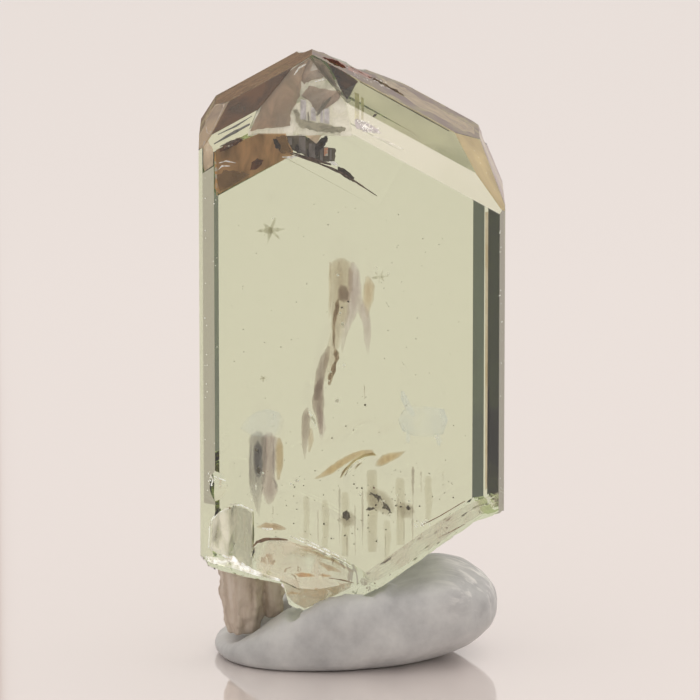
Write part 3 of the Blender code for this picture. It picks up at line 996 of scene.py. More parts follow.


# Painted reflections on the small faces round the crystal's top, of the shaded putty and foot: outlines in
# pixels
BROWN_PATCH = [
    (216, 150), (226, 146), (243, 140), (258, 134), (286, 134), (288, 142), (293, 151), (293, 155),
    (263, 170.5), (219, 194), (214.5, 188),
]
BROWN_PATCH_DEEP = [(273, 139), (277, 139), (281, 146), (280, 150), (276, 147)]
BROWN_PATCH_END = [(276, 136), (286, 135.5), (288, 143), (291, 152), (283, 154), (278, 149), (279, 143)]
BROWN_PATCH_FOOT = [(216, 176), (226, 170), (240, 172), (250, 174), (236, 183), (220, 192)]
BROWN_PATCH_LOW = [(250, 170), (252, 162), (258, 158.5), (263, 160), (262, 165), (256, 170)]
LEFT_SHOULDER_DARK_PATCH = [(219, 150), (226, 143), (240, 137.5), (243, 140), (236, 145), (226, 150), (220, 152)]
DARK_TRIANGLE = [(327, 62), (343, 71), (358.5, 81), (350, 90), (347, 99), (340, 88), (334, 75)]
FACET_LOWER_BAND = [
    (292.5, 109), (296, 109), (299.5, 112), (300, 119.5), (310, 121), (320, 123), (331, 125.5),
    (345, 128.5), (345, 131), (335, 133), (324, 132.5), (312, 130), (303, 128), (296, 122.5),
]
GROWTH_STEP = [(338, 166), (344, 168), (355, 178), (353, 182), (345, 178), (339, 172)]


def make_brown_reflections():
    """Films behind the top's small faces that paint their reflections of the shaded putty and foot, brown to
    nearly black.
    """
    flat_inclusion("brown_patch", plates([BROWN_PATCH], 0.10),
                   cloudy("painted brown reflection", "#DCB47C", "#8E7046", 0.95, cover=(0.85, 0.97)))
    flat_inclusion("brown_patch_shades", plates([BROWN_PATCH_END, BROWN_PATCH_FOOT], 0.07, torn=2.0),
                   cloudy("painted olive-brown reflection", "#8A7048", "#5A4628", 0.9, cover=(0.10, 0.42), stretch=1.0))
    dark_reflections = [DARK_TRIANGLE, LEFT_SHOULDER_DARK_PATCH, BROWN_PATCH_LOW]
    flat_inclusion("dark_reflections", plates(dark_reflections, 0.06, torn=1.2),
                   cloudy("painted dark brown reflections", "#86603E", "#4E3018", 2.0, cover=(0.75, 0.97)))
    flat_inclusion("olive_reflections", plates([FACET_LOWER_BAND], 0.06, torn=2.0),
                   cloudy("painted dark olive reflections", "#C9C4AC", "#8A8670", 1.8, cover=(0.60, 0.92),
                          glow=0.03, stretch=1.5))
    flat_inclusion("near_black_reflections", plates([GROWTH_STEP, BROWN_PATCH_DEEP], 0.05, torn=1.6),
                   mineral_grain("painted near-black reflection", "#4A3C24", "#221C0E"))


# The striped zone below the top facet, and the facet's own bars: outlines, upright bars as
# (x, width, y from, y to), and strokes as (x, y, width)
STRIPED_ZONE = [
    (284, 136), (305.5, 135.5), (310, 139), (316, 143.5), (321, 138), (327, 135.5), (328, 140),
    (323.5, 147), (334, 148), (335.5, 151), (335.5, 161.5), (329, 162), (318, 160), (304, 155.5),
    (294, 151), (288, 147),
]
DARK_TRIANGLE_TIP = [(343, 90), (356, 84), (350, 96), (347, 99.5)]
PEACH_BAR = [(324, 147), (328, 147), (328, 156), (324, 156)]
FACET_BARS = [
    [(300.5, 99), (306, 100.5), (306.5, 120), (300.5, 119.5)],
    [(311, 107), (315.5, 108.5), (316, 121), (310.5, 120.5)],
    [(320, 111), (323.2, 109), (323.4, 123), (320.2, 122.5)],
    [(324.2, 108.6), (329.4, 108.4), (329.4, 124), (324.4, 123)],
]
STRIPES = [
    (299, 6.5, 137, 153.5), (309, 6.5, 143.5, 158), (320, 3, 148, 161), (288, 4, 137.5, 145),
    (329.6, 2.0, 149.5, 160),
]
BLACK_STROKES = [
    [(327, 137, 3.0), (322, 142, 6.0), (318, 149, 5.5), (316, 155, 2.0)],
    [(297, 144, 1.2), (297.3, 148, 4.0), (297.5, 153, 1.4)],
    [(307.5, 149, 1.0), (308, 153, 3.0), (308.4, 157, 1.4)],
]
FACET_STROKES = [
    [(331, 97, 1.6), (325, 104.5, 4.0), (319, 112, 4.0), (316.4, 115.5, 1.4)],
    [(308, 112, 0.8), (308.5, 117, 2.4), (308.5, 121, 1.6)],
]


def upright_bar(x, width, top, bottom):
    return [(x, top), (x + width, top), (x + width, bottom), (x, bottom)]


def make_striped_zone():
    """The dark striped zone, the growth bars above it, and the strokes that cross both."""
    flat_inclusion("striped_zone", plates([STRIPED_ZONE], 0.16, torn=1.6) + plates([DARK_TRIANGLE_TIP], 0.04),
                   cloudy("dark olive-grey crack", "#8A8270", "#3C382E", 2.4, cover=(0.8, 0.95)))
    flat_inclusion("grey_bars", plates([upright_bar(*stripe) for stripe in STRIPES], 0.12),
                   cloudy("dark grey growth bars", "#A8A29A", "#6E6862", 1.8, cover=(0.55, 0.85), glow=0.05))
    flat_inclusion("pale_bars", plates(FACET_BARS, 0.08),
                   cloudy("pale blue-grey growth bars", "#E6E2E2", "#B4AEAA", 2.4, cover=(0.65, 0.92),
                          glow=0.10))
    flat_inclusion("black_strokes", strokes(BLACK_STROKES, 0.05, lumps=0.5, sides=8),
                   mineral_grain("near-black crack filling", "#4A4438", "#26221A"))
    flat_inclusion("facet_strokes", strokes(FACET_STROKES, 0.05, lumps=0.4, sides=8),
                   cloudy("grey crack filling", "#BDB8AA", "#8A8474", 1.8, cover=(0.7, 0.95)))
    # The peach bar is a painted orange glow
    flat_inclusion("peach_bar", plates([PEACH_BAR], 0.08),
                   painted_glint("peach-coloured painted glow", "#D39A74", 0.12))


# Lines along the top's edges and steps: (x, y, width), and the outlines of its pale corners
STEP_LINES = [
    [(290, 153.5, 0.8), (318, 163, 1.8), (342, 173, 3.0), (356, 182, 2.0), (377, 196, 0.6)],
    [(366, 75.5, 1.0), (374, 79, 4.5), (396, 91.5, 5.5), (407, 97.5, 1.4)],
    [(360, 82, 1.4), (400, 104, 1.8), (449, 131, 1.6)], [(373, 117, 0.8), (375, 115, 3.0), (377, 114, 0.8)],
    [(220, 146.5, 0.8), (231, 142, 3.4), (244, 138.5, 0.8)],
    [(292, 152.5, 1.4), (312, 159.5, 3.4), (331, 164.5, 1.6)],
]
STACK_LINES = [
    [(214, 144, 1.4), (231, 134, 4.2), (250, 124, 2.4)],
    [(218, 134.5, 1.0), (236, 126, 2.4), (252, 116, 1.0)],
]
GOLD_EDGES = [
    [(215, 152, 0.8), (216, 170, 2.4), (217, 196, 0.8)],
    [(208, 136, 0.8), (211, 131, 2.6), (213, 126, 0.8)],
]
PALE_CORNERS = [
    [(205, 119), (210, 111), (216, 104), (225, 104), (218, 119), (210, 134), (206.5, 133)],
    [(203.5, 141), (208, 141), (213, 149), (213.5, 165), (204.5, 171.5), (203.5, 166)],
    [(305.5, 135), (321.5, 135), (319, 140), (316, 143.5), (310, 139)],
]


def make_top_lines():
    """Stained step lines, stacked crack lines, golden edges with a painted glint, and frosted corners."""
    flat_inclusion("step_lines", strokes(STEP_LINES, 0.06, lumps=0.5),
                   mineral_grain("iron-stained step lines", "#7E6652", "#4A3A2C"))
    flat_inclusion("stack_lines", strokes(STACK_LINES, 0.06, lumps=0.3),
                   cloudy("blue-grey crack lines", "#A9A8A8", "#6C6A6C", 1.8, cover=(0.7, 0.95)))
    flat_inclusion("pale_corners", plates(PALE_CORNERS, 0.03, torn=0.8),
                   cloudy("cream-grey frosting", "#F2E2C8", "#C2AC8C", 1.5, cover=(0.6, 0.9), glow=0.10))
    # The golden edges are orange-gold lines whose glow paints their glint
    flat_inclusion("gold_edges", strokes(GOLD_EDGES, 0.05, lumps=0.5),
                   painted_glint("orange-gold edge with a painted glint", "#C99A58", 0.15))


# The top facet: outlines of its painted reflections and bars, and strokes of painted glints as (x, y, width)
FACET_WARM_PART = [
    (279, 79), (300, 64), (309, 57), (302, 78), (300, 96), (291, 112), (290, 126), (266, 128), (250, 131),
    (262, 106),
]
FACET_MAUVE_PART = [(309, 57), (322, 66), (331, 73), (322, 77), (312, 80), (304, 84), (300, 80), (303, 68)]
FACET_TOP_RIGHT = [(313, 57), (320, 60), (327, 66), (332, 75), (338, 88), (333, 86), (326, 79), (318, 70)]
FACET_MAUVE_ARROW = [(309, 86), (330, 90), (342, 91), (338, 101), (318, 113.5), (311, 103), (301, 95.6)]
YELLOW_BARS = [
    [(354.5, 92), (359, 94), (359, 121), (354.5, 120)], [(361, 97), (363.5, 98), (363.5, 120), (361, 119)],
]
PALE_STROKES = [
    [(373, 136, 0.8), (388, 142, 1.8), (404, 149.7, 0.8)], [(294, 75, 0.8), (299, 68, 2.2), (306, 64, 0.8)],
    [(334, 80, 0.8), (338, 86, 2.6), (341, 92, 0.8)], [(313, 82, 0.8), (322, 80, 2.4), (331, 79, 0.8)],
    [(360, 123, 0.8), (366, 127, 3.0), (374, 131, 0.8)],
    [(224, 147, 0.8), (229, 146, 2.4), (233, 145, 0.8)],
    [(282, 157, 0.8), (290, 157.5, 3.0), (298, 156, 0.8)],
    [(219, 163, 0.6), (226, 161, 1.6), (236, 163, 0.6)],
    [(218, 170, 0.6), (222, 166, 1.4), (230, 166, 0.6)],
    [(329, 161.5, 0.8), (333, 163, 3.8), (338, 165.5, 0.8)],
]


def make_top_facet():
    """The frosted top facet with warm and mauve painted reflections of the shaded putty, yellow bars and
    glinting strokes.
    """
    flat_inclusion("frosted_facet", face_film((4, 1, 0), inset=0.0, depth=0.18),
                   cloudy("pale frosting behind the top facet", "#FFFBF0", "#DED8C8", 1.5,
                          cover=(0.35, 0.70), glow=0.16))
    inclusion("warm_facet_reflection", plates([FACET_WARM_PART], 0.10, torn=1.6),
              cloudy("painted warm grey-brown reflection", "#E2C8AC", "#AE9A84", 0.9, cover=(0.60, 0.88),
                     glow=0.04))
    mauve = plates([FACET_MAUVE_PART], 0.14, torn=2.0) + plates([FACET_TOP_RIGHT], 0.05, torn=1.0)
    inclusion("mauve_facet_reflection", mauve + plates([FACET_MAUVE_ARROW], 0.07, torn=1.2),
              cloudy("painted mauve-grey reflection", "#D8C4B0", "#9E8E7E", 1.2, cover=(0.55, 0.90), glow=0.03))
    flat_inclusion("yellow_bars", plates(YELLOW_BARS, 0.12),
                   cloudy("pale yellow growth bars", "#F2EEB8", "#CFC998", 1.5, cover=(0.6, 0.9), glow=0.12))
    # The pale strokes are painted glints: they glow
    flat_inclusion("pale_strokes", strokes(PALE_STROKES, 0.08, lumps=0.6),
                   painted_glint("bright walls of small cracks", "#FFFDF6", 0.25))


# The roof and the crest: outlines, the flake as (x, y, width), and each chip as its upper and its
# lower line
ROOF_PATCH = [
    (381, 78.5), (392, 81.5), (408, 90.5), (440, 108.5), (474, 127), (475, 134.5), (462, 130), (440, 117.5),
    (415, 104), (400, 94), (388, 86),
]
LILAC_BLOTCH = [(354, 119), (364, 121), (376, 128), (381, 133.5), (368, 133), (356, 129)]
RUST_FLAKE = [(320, 56.5, 1), (327, 59, 4), (336, 63, 5.5), (344, 67, 4), (349, 70, 1)]
RUST_CHIPS = [
    ([(321, 55.5), (330, 58), (340, 61.5), (346, 65)], [(323, 58), (331, 62), (340, 66), (346, 69)]),
    ([(348, 66), (358, 69.5), (372, 76)], [(348, 70), (358, 74), (370, 79)]),
]


def make_roof_films():
    """Films behind whole faces of the roof and its shoulders, and the rust in the crest's chips."""
    flat_inclusion("left_shoulder_stain", face_film((2, 1, -1)),
                   cloudy("dark mottled iron stain", "#8E6844", "#4E3822", 0.9, cover=(0.85, 0.97)))
    chips = [form for chip in RUST_CHIPS for form in skin(chip, 0.008, rows=4, thickness=0.01)]
    flat_inclusion("rust_chips", chips + tubes([RUST_FLAKE], 0.04, flatness=0.4, lumps=0.9),
                   cloudy("rust in the crest's chips", "#A8664C", "#5E382A", 2.5, cover=(0.75, 0.95)))
    flat_inclusion("olive_face_film", face_film((2, 1, 1)),
                   stained("olive-grey film", "#DEDED0", "#C8CABC", 0.5))
    flat_inclusion("pale_face_film", face_film((7, 2, 2)),
                   cloudy("pale lilac-white film", "#FFF8F4", "#F4EEEC", 0.3, cover=(0.10, 0.16), glow=0.12))
    flat_inclusion("left_roof_stain", face_film((0, 1, -1)),
                   cloudy("pinkish-brown roof film", "#A08464", "#604A34", 1.3, cover=(0.52, 0.82)))
    flat_inclusion("right_roof_patch", plates([ROOF_PATCH], 0.015, torn=1.5),
                   cloudy("pale olive-yellow roof film", "#BCB284", "#928A62", 1.3, cover=(0.55, 0.80),
                          glow=0.02, stretch=1.0))
    flat_inclusion("lilac_blotch", plates([LILAC_BLOTCH], 0.06, torn=2.0),
                   cloudy("lilac-grey crack blotch", "#D2C8CE", "#847C86", 2.2, cover=(0.35, 0.85),
                          glow=0.05, stretch=1.0))
    flat_inclusion("right_roof_stain", face_film((0, 1, 1), depth=0.06),
                   stained("pale olive-grey roof film", "#F4E8CA", "#DACBA8", 1.3))


def make_corner_veils():
    """Cloudy, iron-stained veils that scatter light under the two upper corner faces."""
    flat_inclusion("yellow_corner_veil", face_film((1, 1, 2)),
                   cloudy("cloudy yellow veil", "#ECDAA0", "#D2BC80", 0.42, cover=(0.85, 0.95)))
    flat_inclusion("tan_corner_veil", face_film((1, 1, -2)),
                   cloudy("cloudy tan veil", "#D4B680", "#9C7A50", 0.9, cover=(0.75, 0.9)))


# The broken foot: what the break's scoops and shells look like, as two lines of pixels each
WARM_SHELL = (
    [(254, 549), (262, 542), (275, 540), (290, 541), (310, 549), (330, 559), (350, 569)],
    [(257, 572), (268, 576.5), (281, 582), (298, 589), (316, 590), (334, 587), (350, 583)],
)
CREAM_SCOOP = (
    [(213, 520), (218, 513), (224, 509), (229, 507)], [(210, 549), (215, 552), (222, 555), (229, 558)],
)
GREY_SCOOP = (
    [(227, 507.5), (238, 506), (246, 509), (252, 513)], [(227, 557), (238, 562), (246, 566), (252, 570)],
)
TIP_FILM = (
    [(284.5, 584.5), (298, 588.5), (316, 589.5), (332, 587), (352, 582)],
    [(287, 595), (294, 603), (305, 608.5), (322, 601.5), (350, 588)],
)
RIM_FROST = (
    [(207, 556), (222, 558), (238, 563), (256, 570.5), (280, 579)],
    [(209, 562), (224, 566), (240, 570.5), (256, 575.5), (280, 581.5)],
)
RIGHT_BAND = (
    [(364, 574), (382, 561), (402, 547), (420, 534), (440, 521), (465, 506), (490, 495), (498, 492)],
    [(364, 586), (382, 578), (402, 567), (420, 555), (440, 542), (465, 524), (490, 509), (498, 505)],
)
GOLD_LINE = ([(485.2, 212), (488.2, 212)], [(485.2, 490), (488.2, 488)])

# Lines on the foot: (x, y, width)
RIDGE_LINES = [
    [(253, 547, 1.0), (257, 542, 2.8), (266, 539, 3.0), (278.5, 539, 2.6), (288, 540, 1.0)],
    [(421, 525.6, 0.6), (440, 516, 1.0), (465, 501, 0.6)],
    [(437.7, 538, 0.6), (452, 531, 1.0), (465, 524, 0.6)],
    [(329, 578, 0.8), (342, 580, 1.4), (354, 583, 0.8)],
    [(227, 508, 0.6), (229, 508, 2.2), (231, 508.5, 0.6)],
]
WARM_SHADOWS = [
    [(257, 527, 2), (266, 526, 7), (277, 527, 7), (286, 529, 2)],
    [(292, 543, 2), (312, 550, 6), (334, 561, 6), (353, 572, 2)],
    [(318, 562, 2), (330, 568, 9), (342, 572, 2)],
]
ORANGE_STAINS = [
    [(294, 574, 1), (300, 575, 5), (308, 575, 5), (315, 576, 1)],
    [(318, 575, 1), (324, 575.5, 4.4), (331, 576, 1)], [(287, 594, 1), (292, 592.5, 2.6), (300, 594, 1)],
    [(314, 589, 1), (316, 589, 3.2), (318, 589, 1)],
]
BRIGHT_EDGES = [
    [(222, 555, 1.6), (229, 558, 6.0), (239, 563.5, 7.0), (247, 568.5, 5.5), (256, 574, 1.6)],
    [(207.5, 560, 1.0), (212, 562, 3.0), (218, 564, 1.0)],
    [(229, 508, 0.8), (220, 512, 1.4), (212, 519, 1.4), (209.5, 528, 1.4), (208.5, 548, 0.8)],
    [(229, 504.5, 0.8), (241, 505, 1.6), (253, 510.5, 0.8)],
    [(290, 536, 0.8), (320, 550, 1.8), (351, 566, 0.8)],
    [(300, 537.5, 0.6), (325, 549, 1.2), (346, 560, 0.6)],
    [(262, 528, 0.8), (267.6, 529, 2.6), (273, 529, 0.8)],
    [(214, 476, 0.8), (218, 478, 1.8), (226, 481, 0.8)],
    [(210, 474, 0.8), (213, 480, 1.8), (211, 486, 0.8)],
]
GREEN_LINES = [
    [(253, 512, 0.8), (253.4, 535, 1.6), (253.4, 558, 0.8)],
    [(258, 573.5, 0.8), (269, 577.5, 1.6), (281, 581.5, 1.4), (300, 590, 0.8)],
]


def make_foot_details():
    """Stains, painted shadows and bright edges with painted glints on the broken foot."""
    inclusion("warm_shell", skin(WARM_SHELL, 0.06),
              cloudy("warm break, finely frosted", "#FFF3DE", "#D8C2A2", 0.9, cover=(0.04, 0.38), glow=0.08))
    inclusion("cream_scoop", skin(CREAM_SCOOP, 0.06),
              cloudy("cream-white frosted scoop", "#FBF8EA", "#D2CEB6", 1.6, cover=(0.30, 0.75), glow=0.20))
    inclusion("grey_scoop", skin(GREY_SCOOP, 0.10),
              cloudy("grey-green frosted scoop", "#F2F0DC", "#B6B59D", 1.6, cover=(0.35, 0.75), glow=0.11))
    inclusion("tip_film", skin(TIP_FILM, 0.04),
              cloudy("tan frosted tip of the break", "#EAD9B4", "#B8A47C", 1.3, cover=(0.25, 0.70),
                     glow=0.05, stretch=1.0))
    # The rim's strong glow paints its highlight over the frost
    inclusion("rim_frost", skin(RIM_FROST, 0.03),
              cloudy("white frost with a painted highlight on the break's rim", "#FFFFFC", "#D6D0BC", 1.8, cover=(0.15, 0.85),
                     glow=0.40, stretch=1.0))
    inclusion("right_band", skin(RIGHT_BAND, 0.06),
              cloudy("grey-tan frosted break", "#F2E8D4", "#B4A88E", 1.2, cover=(0.08, 0.40)))
    inclusion("gold_line", skin(GOLD_LINE, 0.03, rows=30),
              stained("golden film on the growth step", "#E2D4C8", "#D2BEA6", 0.9))
    inclusion("ridge_lines", strokes(RIDGE_LINES, 0.10, lumps=0.6, flatness=0.5),
              mineral_grain("brown iron stain in the break", "#B08C68", "#7A5A3E"))
    # The warm shadows are painted shade on the foot
    inclusion("warm_shadows", tubes(WARM_SHADOWS, 0.35, flatness=0.8, lumps=0.5),
              smoky("painted pinkish-brown shadow", "#DFCDBC", 0.2))
    inclusion("orange_stains", tubes(ORANGE_STAINS, 0.20, lumps=0.5),
              smoky("orange iron stain", "#E0B488", 0.1))
    # The bright edges are painted glints, the first one the foot's painted highlight
    inclusion("bright_edges", strokes(BRIGHT_EDGES, 0.07, lumps=0.6, flatness=0.5),
              painted_glint("bright edges of the break", "#FFFFFA", 0.45))
    inclusion("green_lines", strokes(GREEN_LINES, 0.08, lumps=0.5, flatness=0.5),
              stained("dark green crack lines", "#9C9C74", "#6A6C4C", 3.0))


# Where small nicks and dust lie: two lines of pixels, grains per square millimetre, their
# smallest and largest radius, and a seed
EDGE_NICKS = [
    (
        [(204.5, 150), (204.8, 300), (205, 540)], [(207, 150), (207.5, 300), (207.5, 540)], 2.2, 0.012,
        0.040, 3,
    ),
    ([(499.5, 230), (499.8, 350), (500, 490)], [(502, 230), (502, 350), (502, 490)], 2.2, 0.012, 0.035, 5),
    ([(213, 200), (213, 350), (213, 480)], [(217, 200), (217, 350), (217, 480)], 1.4, 0.012, 0.030, 7),
    (
        [(205, 128), (230, 98), (262, 77), (300, 58)], [(208, 130), (232, 102), (264, 80), (301, 61)], 3.0,
        0.012, 0.040, 9,
    ),
    (
        [(345, 64), (380, 82), (430, 108), (470, 127)], [(345, 67), (380, 85), (430, 111), (470, 130)], 3.0,
        0.012, 0.040, 11,
    ),
    ([(352, 70), (372, 77), (392, 84)], [(352, 75), (372, 83), (392, 90)], 14.0, 0.015, 0.060, 13),
    ([(357, 121), (367, 121), (380, 129)], [(357, 129), (366, 132), (379, 134)], 60.0, 0.012, 0.045, 15),
    ([(206, 556), (214, 560), (224, 559)], [(206.5, 561), (213, 565), (223, 563)], 60.0, 0.015, 0.050, 17),
    ([(412, 519), (420, 519), (430, 519)], [(412, 527), (420, 527), (430, 526)], 30.0, 0.012, 0.040, 19),
    ([(476, 150), (488, 170), (500, 200)], [(473, 151), (485, 172), (497, 202)], 8.0, 0.012, 0.045, 21),
    ([(208, 470), (214, 471), (220, 473)], [(208, 484), (214, 486), (220, 488)], 30.0, 0.012, 0.045, 23),
]
DUST = [
    ([(224, 200), (340, 190), (470, 215)], [(224, 470), (340, 470), (470, 470)], 0.5, 0.008, 0.030, 31),
    ([(232, 470), (340, 470), (470, 470)], [(256, 536), (340, 545), (440, 505)], 1.8, 0.008, 0.035, 33),
]

# What the tree that strews grains is given, besides the faces: name and kind
STREWING_INPUTS = [
    ("Density", "Float"), ("Smallest", "Vector"), ("Largest", "Vector"), ("Seed", "Int"),
    ("Material", "Material"),
]


def strewing_tree():
    """Small angular grains strewn over the faces that come in. Says how its inputs are addressed."""
    tree = bpy.data.node_groups.new("strewn grains", "GeometryNodeTree")
    tree.interface.new_socket("Geometry", in_out="INPUT", socket_type="NodeSocketGeometry")
    address = {}
    for name, kind in STREWING_INPUTS:
        socket = tree.interface.new_socket(name, in_out="INPUT", socket_type="NodeSocket" + kind)
        address[name] = socket.identifier
    tree.interface.new_socket("Geometry", in_out="OUTPUT", socket_type="NodeSocketGeometry")
    given = tree.nodes.new("NodeGroupInput").outputs
    points = add_node(tree, "GeometryNodeDistributePointsOnFaces", {
        "Mesh": given["Geometry"],
        "Density": given["Density"],
        "Seed": given["Seed"],
    })
    size = add_node(tree, "FunctionNodeRandomValue", {
        "Min": given["Smallest"],
        "Max": given["Largest"],
        "Seed": given["Seed"],
    }, data_type="FLOAT_VECTOR")
    turn = add_node(tree, "FunctionNodeRandomValue", {
        "Max": (2 * math.pi, 2 * math.pi, 2 * math.pi),
        "Seed": given["Seed"],
    }, data_type="FLOAT_VECTOR")
    grain = add_node(tree, "GeometryNodeMeshIcoSphere", {"Radius": 1.0, "Subdivisions": 1})
    strewn = add_node(tree, "GeometryNodeInstanceOnPoints", {
        "Points": points.outputs["Points"],
        "Instance": grain.outputs["Mesh"],
        "Rotation": turn.outputs["Value"],
        "Scale": size.outputs["Value"],
    })
    real = add_node(tree, "GeometryNodeRealizeInstances", {"Geometry": strewn.outputs["Instances"]})
    dressed = add_node(tree, "GeometryNodeSetMaterial", {
        "Geometry": real.outputs["Geometry"],
        "Material": given["Material"],
    })
    add_node(tree, "NodeGroupOutput", {"Geometry": dressed.outputs["Geometry"]})
    return tree, address


def strewn_grains(name, places, material, depth):
    """Grains strewn over sheets that lie at a depth under the crystal's surface."""
    tree, address = strewing_tree()
    strewn = []
    for top, bottom, density, smallest, largest, seed in places:
        mesh = bmesh.new()
        add_skin(mesh, top, bottom, depth)
        carrier = mesh_object("carrier", mesh)
        modifier = carrier.modifiers.new("strewn grains", "NODES")
        modifier.node_group = tree
        modifier[address["Density"]] = density / MM / MM
        modifier[address["Smallest"]] = (smallest * MM, smallest * MM, smallest * MM)
        modifier[address["Largest"]] = (largest * MM, largest * MM, largest * MM)
        modifier[address["Seed"]] = seed
        modifier[address["Material"]] = material
        strewn.append(modified(carrier))
    finish_inclusion(name, in_millimetres(*strewn), material)


def make_inclusions():
    make_brown_reflections()
    make_striped_zone()
    make_top_lines()
    make_top_facet()
    make_roof_films()
    make_corner_veils()
    make_central_tubes()
    make_left_tube()
    make_patches()
    make_ochre_crack()
    make_specks()
    make_needles()
    make_foot_details()
    # The nicks glow: they are painted glints
    strewn_grains("edge_nicks", EDGE_NICKS, painted_glint("tiny bright nicks", "#FFFFFA", 0.40), 0.05)
    strewn_grains("inner_dust", DUST, mineral_grain("grey dust in the crystal", "#A39C8C", "#6A6456"), 1.4)


# Putty and matrix

# How uneven they are: swells per millimetre, and how high they rise
PUTTY_SWELLS = [(0.55, 0.10), (1.6, 0.03)]
STUB_SWELLS = [(2.2, 0.10), (6.0, 0.04)]

# The putty is this much thinner than its solid, in full from this height up and less below it
PUTTY_THINNED = 0.06
PUTTY_STAND = 0.4

# The stub is this much thicker than its solid, with upright furrows of this depth: how many to a
# millimetre across, and along
STUB_THICKENED = 0.06
FURROW_DEPTH = 0.03
FURROWS_ACROSS = 3.2
FURROWS_ALONG = 0.5


def remeshed(node, voxel, smoothing):
    """A fine even skin over a CAD node, as a new bmesh in millimetres."""
    piece = mesh_object(node + " skin", merged_copy(node))
    remesh = piece.modifiers.new("even skin", "REMESH")
    remesh.mode = "VOXEL"
    remesh.voxel_size = voxel * MM
    smooth = piece.modifiers.new("softened", "SMOOTH")
    smooth.factor = 0.5
    smooth.iterations = smoothing
    mesh = in_millimetres(modified(piece))
    mesh.normal_update()
    return mesh


def unevenness(place, swells):
    return sum(noise.noise(place * per_mm) * height for per_mm, height in swells)


# Up to this share of its reach a skin is pulled all the way, and past it less and less
PULLED_FULLY = 0.6


def press_against(mesh, tree, reach, gap):
    """Push the skin that lies near a neighbour right up to it, all but a hair's breadth."""
    for vertex in mesh.verts:
        near, normal, index, distance = tree.find_nearest(vertex.co, reach)
        if near is None or distance < gap:
            continue
        pull = (1 - distance / reach) ** 0.5 if distance > reach * PULLED_FULLY else 1.0
        vertex.co = vertex.co.lerp(near, pull * (distance - gap) / distance)


def finish_lump(name, mesh, material, slot, node):
    for face in mesh.faces:
        face.smooth = True
    dress(mesh_object(name, mesh), material, slot, node)


def make_putty():
    mesh = remeshed("mounting_putty", 0.14, 6)
    for vertex in mesh.verts:
        rise = min(1.0, max(0.0, vertex.co.z / PUTTY_STAND))
        vertex.co += vertex.normal * (unevenness(vertex.co, PUTTY_SWELLS) - PUTTY_THINNED) * rise
        vertex.co.z = max(vertex.co.z, 0.0)
    press_against(mesh, CRYSTAL, 0.55, 0.03)
    finish_lump("putty_lump", mesh, mounting_putty(), "grey_putty", "mounting_putty")


def make_stub():
    mesh = remeshed("matrix_stub", 0.07, 3)
    for vertex in mesh.verts:
        x, y, z = vertex.co
        place = Vector((x * FURROWS_ACROSS, y * FURROWS_ACROSS, z * FURROWS_ALONG))
        furrow = noise.noise(place) * FURROW_DEPTH
        vertex.co += vertex.normal * (STUB_THICKENED + furrow + unevenness(vertex.co, STUB_SWELLS))
    press_against(mesh, CRYSTAL, 0.5, 0.02)
    finish_lump("matrix_rock", mesh, striated_rock(), "matrix_rock", "matrix_stub")


# Studio

FLOOR_SIZE = 1500.0
FLOOR_DROP = 0.02


def make_floor():
    """A pale glossy sheet that reaches far behind the object."""
    mesh = bmesh.new()
    bmesh.ops.create_grid(mesh, x_segments=1, y_segments=1, size=FLOOR_SIZE)
    bmesh.ops.translate(mesh, vec=(0.0, 0.0, -FLOOR_DROP), verts=mesh.verts)
    floor = mesh_object("floor", mesh)
    material, tree, shader = new_material("pale glossy acrylic sheet")
    set_inputs(tree, shader, {
        "Base Color": colour("#F3EAE7"),
        "Roughness": 0.06,
        "IOR": 1.7,
        "Coat Weight": 1.0,
        "Coat Roughness": 0.06,
        "Coat IOR": 1.7,
    })
    floor.data.materials.append(material)


# Dull cards far behind the object, out of the picture to the left and right. Only mirrored light
# meets them, and they are there for the roof faces: where the mirrored light leaves the roof, its
# direction, and the card as below
ROOF_CARDS = [
    ("left roof", (0.0, 0.0), -9.1, 200.0, 12.6, "#9C8674"),
    ("right roof", (0.0, 0.0), 9.4, 200.0, 13.6, "#D6C4BC"),
]

# Narrow dark strips that stand round the object like a photographer's black cards. Only light that
# has passed through the crystal meets them: where that light leaves the crystal, the direction that
# it takes in degrees from +Y towards +X, how far off the card stands, its width and its colour
CARDS = [
    ("left front", (6.5, 0.9), 111.7, 17.0, 2.6, "#928CA4"),
    ("right front", (-6.5, 1.0), -111.7, 17.0, 2.6, "#767488"),
    ("far right front", (-6.5, -1.4), -138.4, 17.0, 2.6, "#383448"),
    ("left back", (-3.9, 3.85), 29.5, 27.0, 3.0, "#BCAFAE"),
    ("right back", (2.3, 3.85), -53.8, 17.0, 3.0, "#B4A6AC"),
]
CARD_HEIGHT = 60.0


def make_cards(cards, mirrored):
    """Upright glowing strips. Either only mirrored light meets them, or only light let through."""
    upright = Matrix.Rotation(math.radians(90), 4, "X")
    for name, (x, y), azimuth, distance, width, tint in cards:
        mesh = bmesh.new()
        bmesh.ops.create_grid(mesh, x_segments=1, y_segments=1, size=0.5)
        spread = Matrix.Diagonal((width, 1.0, CARD_HEIGHT, 1.0))
        turn = Matrix.Rotation(math.radians(-azimuth), 4, "Z")
        reach = Matrix.Translation((0.0, distance, CARD_HEIGHT / 2))
        place = Matrix.Translation((x, y, 0.0)) @ turn @ reach @ spread @ upright
        bmesh.ops.transform(mesh, matrix=place, verts=mesh.verts)
        card = mesh_object("card " + name, mesh)
        material, tree, shader = new_material("dark card " + name)
        set_inputs(tree, shader, {
            "Base Color": colour("#000000"),
            "Roughness": 1.0,
            "Emission Color": colour(tint),
            "Emission Strength": 1.0,
        })
        card.data.materials.append(material)
        card.visible_camera = False
        card.visible_diffuse = False
        card.visible_glossy = mirrored
        card.visible_transmission = not mirrored
        card.visible_shadow = False


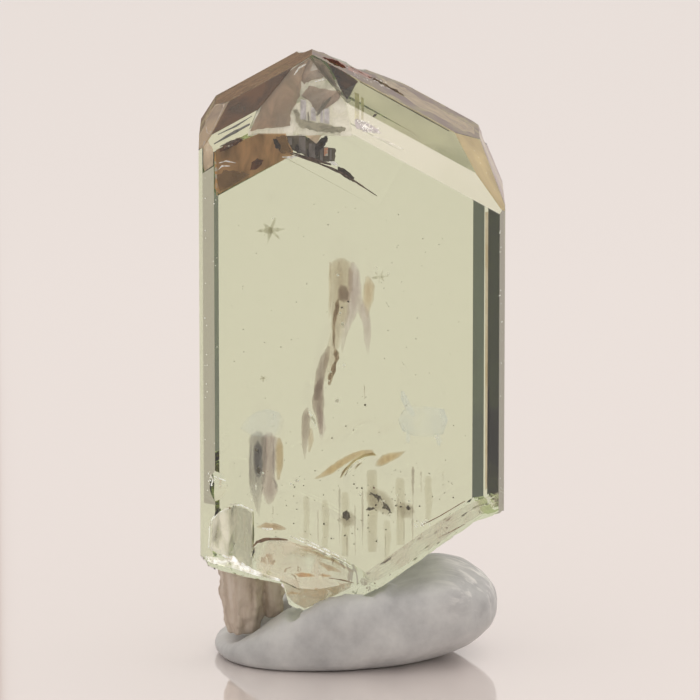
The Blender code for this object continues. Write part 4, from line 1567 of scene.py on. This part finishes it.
# The soft box above and behind: where it hangs, what it is turned to, its side and its watts
BOX_PLACE = Vector((180.0, 120.0, 420.0))
BOX_AIM = Vector((0.0, 0.0, 10.0))
BOX_SIDE = 300.0
BOX_POWER = 0.35


def make_soft_box():
    """A large soft light that is never seen in mirrored light."""
    data = bpy.data.lights.new("soft box", "AREA")
    data.shape = "SQUARE"
    data.size = BOX_SIDE * MM
    data.energy = BOX_POWER
    data.color = colour("#FFF8F4")[:3]
    lamp = in_scene("soft box", data)
    lamp.location = BOX_PLACE * MM
    lamp.rotation_euler = (BOX_AIM - BOX_PLACE).to_track_quat("-Z", "Y").to_euler()
    lamp.visible_glossy = False


def make_world():
    """Even pale light from all sides, a little brighter above."""
    world = bpy.data.worlds.new("soft studio")
    bpy.context.scene.world = world
    world.use_nodes = True
    tree = world.node_tree
    direction = add_node(tree, "ShaderNodeTexCoord").outputs["Generated"]
    height = add_node(tree, "ShaderNodeSeparateXYZ", {"Vector": direction}).outputs["Z"]
    stops = [(0.0, "#E4DDD7"), (0.5, "#EBE4E0"), (1.0, "#F0EAE6")]
    sky = add_node(tree, "ShaderNodeValToRGB", {"Fac": height}, stops)
    set_inputs(tree, tree.nodes["Background"], {"Color": sky.outputs["Color"], "Strength": 1.0})


def make_camera():
    data = bpy.data.cameras.new("camera")
    camera = in_scene("camera", data)
    camera.location = CAMERA * MM
    camera.rotation_euler = (CAMERA_TILT, 0.0, 0.0)
    data.sensor_width = SENSOR
    data.lens = SENSOR * DISTANCE / FRAME_WIDTH
    data.clip_start = 0.01
    bpy.context.scene.camera = camera


# How often light may meet a surface, because the films lie one behind another
BOUNCES = 28


def build():
    scene = bpy.context.scene
    scene.view_settings.view_transform = "Standard"
    scene.cycles.max_bounces = BOUNCES
    scene.cycles.transmission_bounces = BOUNCES
    make_crystal()
    make_inclusions()
    make_putty()
    make_stub()
    make_floor()
    make_cards(CARDS, mirrored=False)
    make_cards(ROOF_CARDS, mirrored=True)
    make_soft_box()
    make_world()
    make_camera()


build()
